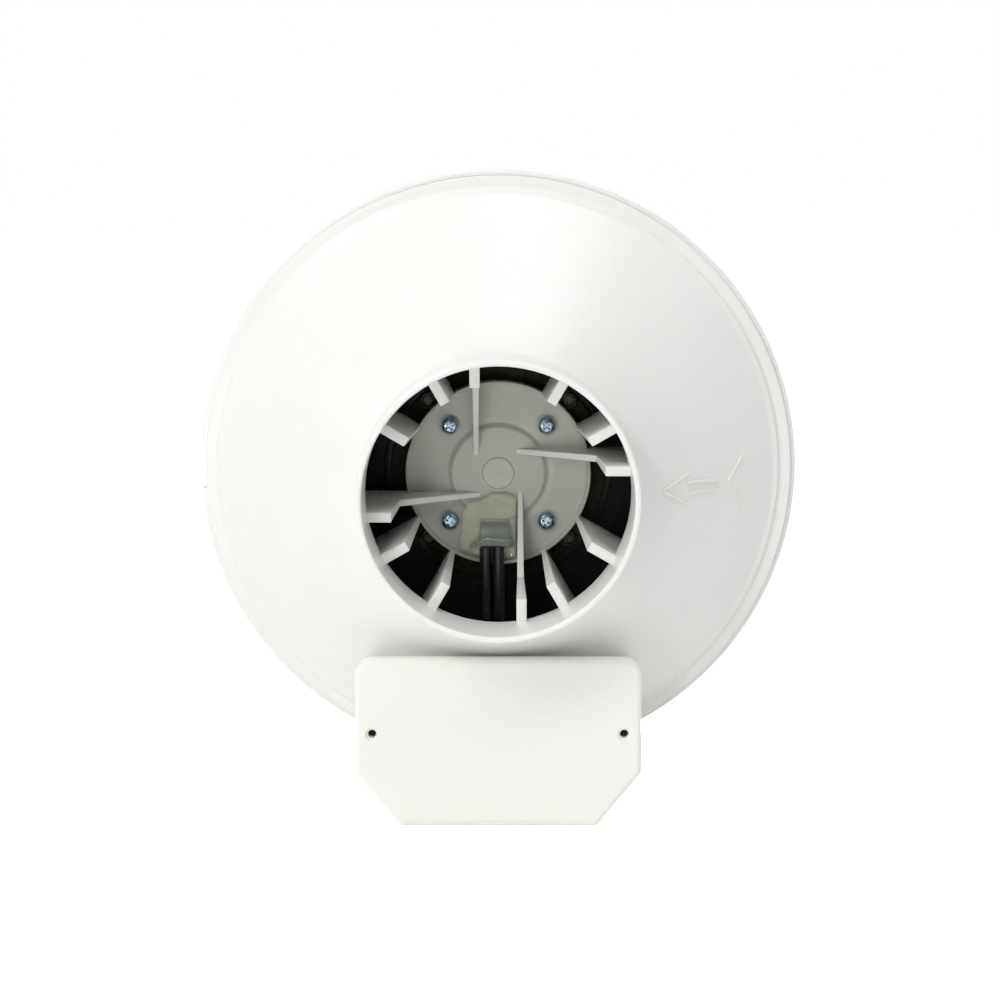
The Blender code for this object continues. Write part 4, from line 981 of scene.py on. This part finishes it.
class DUCTFAN_OT_motor_screws(bpy.types.Operator):
    """Builds the four cross-head screws that hold the motor to its plate"""

    bl_idname = "ductfan.motor_screws"
    bl_label = "Motor screws"

    def execute(self, context):
        settings = context.scene.duct_fan_motor
        zinc = plated_steel("zinc_plate", (0.52, 0.66, 0.72), (0.28, 0.40, 0.48), 0.17)
        profile = pan_head_profile(settings.screw_head)
        turns = (0.5, 1.05, 0.35, 0.8)
        for i, ((x, z), turn) in enumerate(zip(screw_places(), turns)):
            name = f"motor_screw_head_{i + 1}"
            screw = turned(name, profile, (x, z))
            shaped(screw, cross_recess(x, z, PLATE_Z + 2.6 * MM, 2.0 * MM, turn))
            settle(screw, zinc, HOUSING, [f"motor_screw_{i + 1}"])
        return {"FINISHED"}


def blade_outline(start):
    """A backward-curved blade's section, round at both ends."""
    steps = 24
    line = []
    for i in range(steps + 1):
        share = i / steps
        radius = (50.5 + 26.5 * share) * MM
        angle = start - math.radians(52) * share
        line.append(Vector((radius * math.cos(angle), radius * math.sin(angle))))
    sides = ([], [])
    for i, point in enumerate(line):
        ahead = line[min(i + 1, steps)] - line[max(i - 1, 0)]
        across = Vector((-ahead.y, ahead.x)).normalized() * MM
        sides[0].append(tuple(point + across))
        sides[1].append(tuple(point - across))
    return sides[0] + sides[1][::-1]


def shroud_inner():
    return [
        (IMPELLER_R, -18.0 * MM),
        (52.0 * MM, -31.5 * MM),
        (47.2 * MM, -36.8 * MM),
        (46.6 * MM, -41.5 * MM),
    ]


def backplate_profile():
    """The backplate, with the low rings and ribs moulded in its front."""
    top = 2.7 * MM
    return eased(
        [
            (34.8 * MM, 0.7 * MM),
            (34.8 * MM, top, 0.2 * MM),
            (42.6 * MM, top, 0.2 * MM),
            (42.9 * MM, top + 0.5 * MM, 0.2 * MM),
            (43.6 * MM, top + 0.5 * MM, 0.2 * MM),
            (43.9 * MM, top, 0.2 * MM),
            (IMPELLER_R, top, 0.6 * MM),
            (IMPELLER_R, 0.7 * MM, 0.3 * MM),
        ]
    )


class DUCTFAN_OT_impeller(bpy.types.Operator):
    """Builds the impeller: backplate, curved blades and shroud"""

    bl_idname = "ductfan.impeller"
    bl_label = "Impeller"

    def execute(self, context):
        black = impeller_plastic(context.scene.duct_fan_motor)
        plate = spun(backplate_profile(), FINE)
        piece("impeller_disc", plate, black, ROTOR, ["impeller_backplate"])
        inner = [(r, z + 0.3 * MM) for r, z in shroud_inner()]
        outer, below = 85.0 * MM, -80 * MM
        corners = [(outer, inner[0][1] + 3.6 * MM), (outer, below), (46.6 * MM, below)]
        trimmer = [*corners, *reversed(inner)]
        blades = bmesh.new()
        for i in range(BLADE_COUNT):
            merged(blades, slab(blade_outline(math.tau * i / BLADE_COUNT), 1.5 * MM, -36.8 * MM))
        bladed = shaped(loose("impeller_blades", blades), [loose("trim", spun(trimmer, FINE))])
        settle(bladed, black, ROTOR)
        outside = [
            (IMPELLER_R, -20.0 * MM, 0.5 * MM),
            (53.0 * MM, -33.5 * MM, 5.0 * MM),
            (49.4 * MM, -37.8 * MM, 4.0 * MM),
            (48.4 * MM, -41.5 * MM, 0.3 * MM),
        ]
        inside = [(r, z, 5.0 * MM) if 46.7 * MM < r < 77 * MM else (r, z) for r, z in shroud_inner()]
        shroud = spun(eased(outside + inside[::-1]), FINE)
        piece("impeller_shroud_ring", shroud, black, ROTOR, ["impeller_shroud"])
        return {"FINISHED"}


def can_profile():
    return eased(
        [
            (41.5 * MM, 4.5 * MM, 0.4 * MM),
            (41.5 * MM, 3.0 * MM, 0.3 * MM),
            (34.0 * MM, 3.0 * MM),
            (34.0 * MM, -28.5 * MM, 2.4 * MM),
            (9.0 * MM, -28.5 * MM, 0.6 * MM),
            (9.0 * MM, -31.0 * MM, 0.8 * MM),
            (3.3 * MM, -31.0 * MM),
            (3.3 * MM, -24.5 * MM),
            (8.0 * MM, -24.5 * MM),
            (8.0 * MM, -26.8 * MM),
            (32.3 * MM, -26.8 * MM, 1.0 * MM),
            (32.3 * MM, 4.5 * MM, 1.0 * MM),
        ]
    )


def rivet_profile():
    """A tubular rivet: a low head with a raised rim round a hollow."""
    top = 4.8 * MM
    return [
        (0.0, top + 0.15 * MM),
        *eased(
            [
                (0.0, top + 0.15 * MM),
                (1.9 * MM, top + 0.15 * MM, 0.2 * MM),
                (2.4 * MM, top + 0.85 * MM, 0.3 * MM),
                (3.2 * MM, top + 0.75 * MM, 0.3 * MM),
                (3.4 * MM, top - 0.25 * MM),
            ]
        )[1:],
        (1.5 * MM, top - 0.25 * MM),
        (1.5 * MM, 0.4 * MM),
        (2.6 * MM, 0.4 * MM),
        (2.2 * MM, -0.5 * MM),
        (0.0, -0.5 * MM),
    ]


class DUCTFAN_OT_rotor(bpy.types.Operator):
    """Builds the rotor can and the rivets that fix the impeller to it"""

    bl_idname = "ductfan.rotor"
    bl_label = "Rotor"

    def execute(self, context):
        olive = rotor_plate()
        piece("rotor_shell", spun(can_profile(), MEDIUM), olive, ROTOR, ["rotor_can"])
        rivet_steel = plated_steel("rivet_steel", (0.10, 0.10, 0.085), (0.03, 0.028, 0.022), 0.3)
        for i in range(4):
            angle = math.radians(45 + 90 * i)
            centre = (RIVET_PCR * math.cos(angle), RIVET_PCR * math.sin(angle))
            rivet = spun(rivet_profile(), SMALL, closed=False, centre=centre)
            name = f"impeller_rivet_{i + 1}"
            piece(f"tubular_rivet_{i + 1}", rivet, rivet_steel, ROTOR, [name])
        return {"FINISHED"}


# ---------------------------------------------------------------- wiring


def smooth_route(points, per_span):
    """Points along a smooth curve that passes through every given point."""
    pts = [Vector(p) for p in points]
    padded = [2 * pts[0] - pts[1], *pts, 2 * pts[-1] - pts[-2]]
    found = []
    for before, start, end, after in zip(padded, padded[1:], padded[2:], padded[3:]):
        for i in range(per_span):
            t = i / per_span
            pull = (end - before) * t + (2 * before - 5 * start + 4 * end - after) * t**2
            bend = (3 * start - before - 3 * end + after) * t**3
            found.append(start + (pull + bend) / 2)
    return [*found, pts[-1]]


# Each route is (x from the pair's middle, up, height above the joint) in millimetres
DOWN_THE_AIRWAY = (
    (0.0, -27.8, 17.6),
    (0.0, -38.0, 17.9),
    (0.0, -52.0, 18.0),
    (0.0, -66.0, 15.0),
    (0.0, -75.5, 15.5),
    (0.0, -80.0, 22.0),
    (0.0, -80.0, 28.0),
    (0.0, -80.0, 33.0),
    (0.0, -80.0, 38.0),
)
TO_THE_BLOCK = (
    (-4.0, -82.5, 41.0),
    (-12.0, -86.0, 38.0),
    (-14.8, -88.0, 31.5),
    (-15.0, -89.8, 28.6),
    (-15.0, -90.8, 28.6),
    (-15.0, -91.7, 28.6),
)
TO_THE_CAPACITOR = (
    (0.4, -84.5, 41.3),
    (0.8, -93.0, 36.5),
    (1.4, -103.0, 28.5),
    (2.6, -108.9, 24.4),
    (4.75, -110.5, 23.0),
    (6.65, -110.5, 23.0),
)


def sheathed_lead(name, route, radius, finish, node):
    """A round lead along its route, as a finely bevelled curve."""
    curve = bpy.data.curves.new(name, "CURVE")
    curve.dimensions = "3D"
    curve.bevel_depth = radius
    curve.bevel_resolution = 8
    curve.use_fill_caps = True
    points = smooth_route(route, 10)
    spline = curve.splines.new("POLY")
    spline.points.add(len(points) - 1)
    for slot, point in zip(spline.points, points):
        slot.co = (*point, 1.0)
    curve.materials.append(finish)
    obj = bpy.data.objects.new(name, curve)
    bpy.context.scene.collection.objects.link(obj)
    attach(obj, HOUSING)
    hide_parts(node)
    return obj


class DUCTFAN_OT_wiring(bpy.types.Operator):
    """Builds the sleeve, the two leads and the potting"""

    bl_idname = "ductfan.wiring"
    bl_label = "Wiring"

    def execute(self, context):
        settings = context.scene.duct_fan_motor
        black = lead_sheath()
        runs = ((-1, TO_THE_BLOCK, "supply_lead"), (1, TO_THE_CAPACITOR, "capacitor_lead"))
        for side, ending, node in runs:
            x = LEAD_X + side * LEAD_HALF_PITCH
            route = [(x + dx * MM, -z * MM, y * MM) for dx, y, z in DOWN_THE_AIRWAY + ending]
            sheathed_lead(f"sheathed_{node}", route, settings.lead_radius, black, node)
        tint = (0.66, 0.72, 0.73)
        grey = plastic("sleeve_grey", tint, 0.3, 2500.0, 0.1, 0.1, Transmission_Weight=0.7)
        piece("lead_sleeve", sleeve_shape(), grey, HOUSING, ["cable_sleeve"])
        clear = potting_resin(settings)
        resin = piece("potting", potting_shape(), clear, HOUSING, ["resin_seal"], 60.0)
        resin.data.validate()
        return {"FINISHED"}


def sleeve_shape():
    """Up through the plate, then over and down along its face; softly rounded all round."""
    side = (
        (-20.0, 8.2),
        (-18.0, 8.2),
        (-18.0, 14.2),
        (-20.6, 16.6),
        (-27.4, 18.4),
        (-27.4, 14.0),
        (-20.0, 13.0),
    )
    bm = bmesh.new()
    low = -7.0 * MM
    face = bm.faces.new([bm.verts.new((low, -z * MM, y * MM)) for y, z in side])
    made = bmesh.ops.extrude_face_region(bm, geom=[face])
    moved = [item for item in made["geom"] if isinstance(item, bmesh.types.BMVert)]
    bmesh.ops.translate(bm, vec=(11.6 * MM, 0.0, 0.0), verts=moved)
    bmesh.ops.recalc_face_normals(bm, faces=bm.faces)
    bevel(bm, bm.edges[:], 0.8 * MM, 4)
    return bm


POTTING_OUTLINE = (
    (-6.2, -9.9),
    (-3.0, -7.6),
    (2.6, -7.4),
    (6.9, -8.8),
    (6.9, -32.4),
    (0.0, -33.3),
    (-8.6, -32.1),
    (-15.0, -29.6),
    (-14.9, -24.0),
    (-13.9, -21.5),
    (-13.9, -15.0),
    (-11.6, -11.0),
)


# Drips that run over the sleeve's lip: x, up, height above the joint, radius, in millimetres
POTTING_BEADS = tuple(
    (x, z, height, 0.85)
    for x, z, height in (
        (-10.2, -27.9, 14.6),
        (-9.3, -27.4, 15.4),
        (-8.4, -26.7, 16.2),
        (-7.6, -26.1, 17.2),
        (-6.8, -25.6, 18.1),
        (-5.8, -25.1, 18.4),
        (-4.7, -24.6, 18.4),
        (-3.6, -24.3, 18.4),
        (-2.4, -24.4, 18.4),
        (-1.2, -24.8, 18.4),
        (0.0, -25.0, 18.4),
        (1.2, -25.0, 18.4),
        (2.4, -24.9, 18.4),
        (3.6, -25.1, 18.2),
        (4.6, -25.6, 17.4),
        (5.1, -26.2, 16.4),
        (5.3, -26.9, 15.4),
        (5.4, -27.7, 14.6),
    )
)


def potting_shape():
    """A poured pool with soft shoulders that rises towards the sleeve that it seals."""
    corners = [(x * MM, z * MM, 0.7 * MM) for x, z in POTTING_OUTLINE]
    top = 14.7 * MM
    bm = slab([tuple(p) for p in eased(corners, 3)], top, PLATE_Z + 0.1 * MM)
    for x, z, height, radius in POTTING_BEADS:
        bead = bmesh.new()
        bmesh.ops.create_icosphere(bead, subdivisions=3, radius=radius * MM)
        bmesh.ops.translate(bead, vec=(x * MM, -height * MM, z * MM), verts=bead.verts)
        merged(bm, bead)
    pool = loose("pool", bm)
    remesh = pool.modifiers.new("remesh", "REMESH")
    remesh.mode = "VOXEL"
    remesh.voxel_size = 0.3 * MM
    shaped(pool, [])
    bm = bmesh.new()
    bm.from_mesh(pool.data)
    bpy.data.objects.remove(pool, do_unlink=True)
    for _ in range(14):
        bmesh.ops.smooth_vert(
            bm, verts=bm.verts, factor=0.5, use_axis_x=True, use_axis_y=True, use_axis_z=True
        )
    for v in bm.verts:
        if v.co.y < -13.8 * MM:
            wave = noise.noise(Vector((v.co.x, 0.0, v.co.z)) * 240.0)
            v.co.y -= 0.25 * MM * wave
    return bm


# ---------------------------------------------------------------- terminal box


def box_corners(inset=0.0, top=BOX_TOP):
    """The box seen from the outlet, as (x, z, corner radius), with slanted lower corners."""
    side = BOX_HALF_WIDTH - inset
    top -= inset
    bottom = BOX_BOTTOM + inset
    slant = inset * (math.hypot(SLANT_RUN, SLANT_RISE) - SLANT_RUN) / SLANT_RISE
    foot = BOX_HALF_WIDTH - SLANT_RUN * MM - slant
    rise = (side - foot) * SLANT_RISE / SLANT_RUN
    return [
        (foot, bottom, 1.8 * MM),
        (side, bottom + rise, 1.8 * MM),
        (side, top, 6.2 * MM - inset),
        (-side, top, 6.2 * MM - inset),
        (-side, bottom + rise, 1.8 * MM),
        (-foot, bottom, 1.8 * MM),
    ]


def box_outline(inset=0.0, top=BOX_TOP):
    return [tuple(p) for p in eased(box_corners(inset, top), 10)]


def cone_solid(name, out):
    """The space that the housing's cone fills, so that the box can be fitted over it."""
    top = cone_z(49.0 * MM, out)
    wide = 230.0 * MM
    profile = [(0.0, top), (49.0 * MM, top), (wide, cone_z(wide, out)), (0.0, cone_z(wide, out))]
    return loose(name, spun(profile, FINE, closed=False))


class DUCTFAN_OT_terminal_box(bpy.types.Operator):
    """Builds the terminal box, its cover, cover screws and plug"""

    bl_idname = "ductfan.terminal_box"
    bl_label = "Terminal box"

    def execute(self, context):
        settings = context.scene.duct_fan_housing
        white = box_plastic(settings)
        self.build_cover(settings, white)
        self.build_box(white)
        self.build_screws()
        plug = self.plug_shape()
        grey = rubber("plug_rubber", (0.30, 0.31, 0.31))
        piece("entry_blank", plug, grey, HOUSING, ["cable_entry_plug"])
        return {"FINISHED"}

    def build_cover(self, settings, white):
        bm = slab(box_outline(0.0, COVER_TOP), COVER_FRONT, COVER_BACK)
        bevel(bm, edges_at(bm, COVER_FRONT), settings.cover_round, 8)
        cover = loose("box_cover", bm)
        room = loose("room", slab(box_outline(BOX_WALL), COVER_FRONT - BOX_WALL, COVER_BACK - MM))
        shaped(cover, [room])
        tubes, holes = [], []
        for side in (-1, 1):
            x, z = side * COVER_SCREW[0], COVER_SCREW[1]
            tubes.append(turned("tube", rod(POST_R, COVER_FRONT - 1.0 * MM, COVER_BACK), (x, z)))
            sink = [
                (0.0, COVER_FRONT + MM),
                (2.75 * MM, COVER_FRONT + MM),
                (2.55 * MM, COVER_FRONT - 0.1 * MM),
                (2.1 * MM, COVER_FRONT - 0.75 * MM),
                (1.6 * MM, COVER_FRONT - 0.9 * MM),
                (1.6 * MM, 45.8 * MM),
                (1.2 * MM, 45.8 * MM),
                (1.2 * MM, COVER_BACK - MM),
                (0.0, COVER_BACK - MM),
            ]
            holes.append(turned("sink", sink, (x, z)))
            edge = side * (BOX_HALF_WIDTH + 0.2 * MM)
            low, high = sorted((edge - 0.75 * MM, edge + 0.75 * MM))
            corners = ((low, -COVER_FRONT - MM, -92.4 * MM), (high, -COVER_BACK + MM, -85.6 * MM))
            holes.append(loose("nick", bar(*corners, rounding=0.4 * MM)))
        shaped(cover, tubes, "UNION")
        shaped(cover, holes)
        settle(cover, white, HOUSING, ["terminal_box_cover"])

    def build_box(self, white):
        box = loose("box_body", slab(box_outline(), BOX_FRONT, BOX_BACK))
        shaped(box, [cone_solid("seat", 0.3 * MM)])
        room = loose("room", slab(box_outline(BOX_WALL), BOX_FRONT + MM, BOX_BACK + BOX_WALL))
        shaped(room, [cone_solid("floor", 0.3 * MM + BOX_WALL)])
        shaped(box, [room])
        posts, holes = [], []
        posts_at = [(side * COVER_SCREW[0], COVER_SCREW[1], BOX_FRONT) for side in (-1, 1)]
        middle = -100.0 * MM
        posts_at += [(x * MM, middle, 22.2 * MM) for x in (-32.0, -14.0)]
        for x, z, top in posts_at:
            radius = math.hypot(x, z)
            low = BOX_BACK + BOX_WALL / 2
            if radius < CONE_FOOT_R:
                low = cone_z(radius, 0.3 * MM + BOX_WALL) + 0.2 * MM
            posts.append(turned("post", rod(POST_R, top, low), (x, z)))
        shaped(box, posts, "UNION")
        for x, z, _ in posts_at[:2]:
            holes.append(turned("pilot", rod(1.2 * MM, BOX_FRONT + MM, 31.0 * MM), (x, z)))
        holes.append(loose("passage", slab(oblong(*PASSAGE_HALF), 38.0 * MM, 20.0 * MM)))
        entry = bmesh.new()
        bore = 10.3 * MM
        bmesh.ops.create_cone(
            entry, cap_ends=True, segments=2 * SMALL, radius1=bore, radius2=bore, depth=8 * MM
        )
        bmesh.ops.translate(entry, vec=ENTRY_PLACE, verts=entry.verts)
        holes.append(loose("entry", entry))
        shaped(box, holes)
        settle(box, white, HOUSING, ["terminal_box"])

    def build_screws(self):
        # The cover screws are coloured near-black: painted shade for the deep dark holes they sit in.
        dark = plated_steel("cover_screw_painted_shade", (0.035, 0.035, 0.034), (0.015, 0.014, 0.013), 0.4)
        for side, name in ((-1, "left"), (1, "right")):
            x, z = side * COVER_SCREW[0], COVER_SCREW[1]
            profile = [
                (0.0, 47.2 * MM),
                (1.0 * MM, 47.1 * MM),
                (1.3 * MM, 46.8 * MM),
                (1.3 * MM, 46.1 * MM),
                (0.9 * MM, 46.1 * MM),
                (0.9 * MM, 32.4 * MM),
                (0.0, 32.0 * MM),
            ]
            screw = turned(f"cover_screw_head_{name}", profile, (x, z))
            slot_low = (x - 1.5 * MM, -48.0 * MM, z - 0.2 * MM)
            slot = loose("slot", bar(slot_low, (x + 1.5 * MM, -46.7 * MM, z + 0.2 * MM)))
            shaped(screw, [slot])
            settle(screw, dark, HOUSING, [f"cover_screw_{name}"])

    def plug_shape(self):
        """A flush blank with a shallow dished face and an inner flange."""
        profile = eased(
            [
                (0.0, 0.6 * MM),
                (7.0 * MM, 0.6 * MM, 0.8 * MM),
                (8.4 * MM, 0.05 * MM, 0.5 * MM),
                (10.0 * MM, 0.05 * MM, 0.4 * MM),
                (10.0 * MM, 2.5 * MM),
                (11.8 * MM, 2.5 * MM, 0.3 * MM),
                (11.8 * MM, 3.2 * MM, 0.3 * MM),
                (0.0, 3.2 * MM),
            ]
        )
        bm = spun([(r, -z) for r, z in profile], SMALL * 2, closed=False)
        turn = Matrix.Rotation(math.radians(90), 3, "X")
        bmesh.ops.rotate(bm, cent=(0, 0, 0), matrix=turn, verts=bm.verts)
        bmesh.ops.translate(bm, vec=ENTRY_PLACE, verts=bm.verts)
        return bm


class DUCTFAN_OT_inner_parts(bpy.types.Operator):
    """Gives the motor's and the box's hidden pieces their finishes"""

    bl_idname = "ductfan.inner_parts"
    bl_label = "Inner parts"

    def execute(self, context):
        ground = plated_steel("ground_steel", (0.62, 0.64, 0.66), (0.42, 0.43, 0.45), 0.22)
        finishes = {
            "bright_steel": ground,
            "motor_aluminium": cast_metal("cast_aluminium", (0.62, 0.63, 0.64), (0.42, 0.43, 0.44), 0.45),
            "core_steel": cast_metal("core_laminations", (0.30, 0.30, 0.32), (0.16, 0.16, 0.17), 0.5),
            "copper_winding": cast_metal("enamelled_copper", (0.62, 0.27, 0.10), (0.36, 0.13, 0.04), 0.32),
            "grey_rubber": bpy.data.materials["plug_rubber"],
            "capacitor_plastic": plastic("capacitor_case", (0.72, 0.73, 0.70), 0.4),
            "terminal_plastic": plastic("terminal_cream", (0.70, 0.67, 0.56), 0.42),
        }
        slots = {row["node"]: row["material_slot"] for row in frame["record"]["subparts"]}
        for name, obj in frame["nodes"].items():
            if obj.hide_render:
                continue
            if slots[name] not in finishes:
                raise RuntimeError(f"{name} has no finish of its own")
            for socket in obj.material_slots:
                socket.material = finishes[slots[name]]
        return {"FINISHED"}


# ---------------------------------------------------------------- stage


class DUCTFAN_OT_stage(bpy.types.Operator):
    """Sets the pale floor, the soft studio lights and the camera"""

    bl_idname = "ductfan.stage"
    bl_label = "Stage"

    def execute(self, context):
        scene = context.scene
        scene.view_settings.view_transform = "Standard"
        self.build_floor()
        self.build_lights(scene)
        self.build_camera(scene)
        return {"FINISHED"}

    def build_floor(self):
        bm = bmesh.new()
        bmesh.ops.create_grid(bm, x_segments=8, y_segments=8, size=6.0)
        bmesh.ops.translate(bm, vec=(0.0, 0.0, BOX_BOTTOM - 0.3 * MM), verts=bm.verts)
        floor = loose("studio_floor", bm)
        finish = Finish("studio_white", Roughness=0.85)
        finish.shader.inputs["Emission Color"].default_value = (1.0, 1.0, 1.0, 1.0)
        path = finish.tree.nodes.new("ShaderNodeLightPath")
        glow = range_node(finish.tree, path.outputs["Is Camera Ray"], 0.0, 1.0, 0.1, 0.6)
        finish.feed("Emission Strength", glow)
        drift = noise_node(finish.tree, finish.vector, 3.0, 2.0)
        finish.feed("Base Color", mix_node(finish.tree, drift, (0.93, 0.93, 0.93), (0.95, 0.95, 0.95)))
        floor.data.materials.append(finish.material)

    def build_lights(self, scene):
        world = bpy.data.worlds.new("studio_world")
        scene.world = world
        world.use_nodes = True
        tree = world.node_tree
        background = tree.nodes["Background"]
        background.inputs["Color"].default_value = (1.0, 1.0, 1.0, 1.0)
        where = tree.nodes.new("ShaderNodeTexCoord")
        facing = tree.nodes.new("ShaderNodeVectorMath")
        facing.operation = "DOT_PRODUCT"
        tree.links.new(where.outputs["Generated"], facing.inputs[0])
        facing.inputs[1].default_value = DARK_WAY
        panels = range_node(tree, facing.outputs["Value"], 0.55, 0.93, TENT, DARK_SIDE)
        path = tree.nodes.new("ShaderNodeLightPath")
        strength = math_node(tree, "MAXIMUM", panels, path.outputs["Is Camera Ray"])
        tree.links.new(strength, background.inputs["Strength"])
        for name, place, size, power in STUDIO_LIGHTS:
            data = bpy.data.lights.new(name, "AREA")
            data.shape = "RECTANGLE"
            data.size, data.size_y = size
            data.energy = power
            lamp = bpy.data.objects.new(name, data)
            lamp.location = place
            lamp.visible_camera = False
            lamp.rotation_euler = (-Vector(place)).to_track_quat("-Z", "Y").to_euler()
            scene.collection.objects.link(lamp)

    def build_camera(self, scene):
        data = bpy.data.cameras.new("studio_camera")
        data.sensor_width = 36.0
        data.lens = CAMERA_LENS
        data.shift_x, data.shift_y = CAMERA_SHIFT
        data.clip_start = 0.05
        camera = bpy.data.objects.new("studio_camera", data)
        camera.location = CAMERA_PLACE
        camera.rotation_euler = (math.radians(90.0 - CAMERA_PITCH), 0.0, 0.0)
        scene.collection.objects.link(camera)
        scene.camera = camera


CAMERA_PLACE = (0.0, -0.6953, 0.1170)
CAMERA_PITCH = 7.0
CAMERA_LENS = 65.24
CAMERA_SHIFT = (0.0018, -0.1132)

# A light tent: bright all round, dark where the camera looks in
TENT = 0.62
DARK_SIDE = 0.03
DARK_WAY = (0.42, -0.90, 0.12)

# name, place, (width, height), watts
STUDIO_LIGHTS = (
    ("key_softbox", (-0.70, -0.85, 0.95), (0.35, 0.35), 4.7),
    ("top_softbox", (0.20, -0.50, 1.20), (1.00, 0.60), 5.2),
    ("left_softbox", (-1.30, -0.75, 0.20), (0.60, 0.80), 0.35),
    ("glint_strip", (-0.22, -0.72, 0.32), (0.03, 0.09), 0.5),
    ("lead_strip", (-0.26, -0.72, -0.085), (0.03, 0.06), 0.35),
)


class DUCTFAN_PT_panel(bpy.types.Panel):
    """Lists the duct fan's settings and its building steps"""

    bl_idname = "DUCTFAN_PT_panel"
    bl_label = "Duct Fan"
    bl_space_type = "VIEW_3D"
    bl_region_type = "UI"
    bl_category = "Duct Fan"

    def draw(self, context):
        layout = self.layout
        for settings in (context.scene.duct_fan_housing, context.scene.duct_fan_motor):
            for name in settings.__annotations__:
                layout.prop(settings, name)
        for step in STEPS:
            layout.operator(step.bl_idname)


STEPS = (
    DUCTFAN_OT_outlet_half,
    DUCTFAN_OT_inlet_half,
    DUCTFAN_OT_arrows,
    DUCTFAN_OT_motor_screws,
    DUCTFAN_OT_impeller,
    DUCTFAN_OT_rotor,
    DUCTFAN_OT_wiring,
    DUCTFAN_OT_terminal_box,
    DUCTFAN_OT_inner_parts,
    DUCTFAN_OT_stage,
)
CLASSES = (DuctFanHousingSettings, DuctFanMotorSettings, *STEPS, DUCTFAN_PT_panel)


def register():
    for cls in CLASSES:
        bpy.utils.register_class(cls)
    bpy.types.Scene.duct_fan_housing = bpy.props.PointerProperty(type=DuctFanHousingSettings)
    bpy.types.Scene.duct_fan_motor = bpy.props.PointerProperty(type=DuctFanMotorSettings)


def unregister():
    del bpy.types.Scene.duct_fan_motor
    del bpy.types.Scene.duct_fan_housing
    for cls in reversed(CLASSES):
        bpy.utils.unregister_class(cls)


def main():
    register()
    for step in STEPS:
        module, name = step.bl_idname.split(".")
        getattr(getattr(bpy.ops, module), name)()


if __name__ == "__main__":
    main()
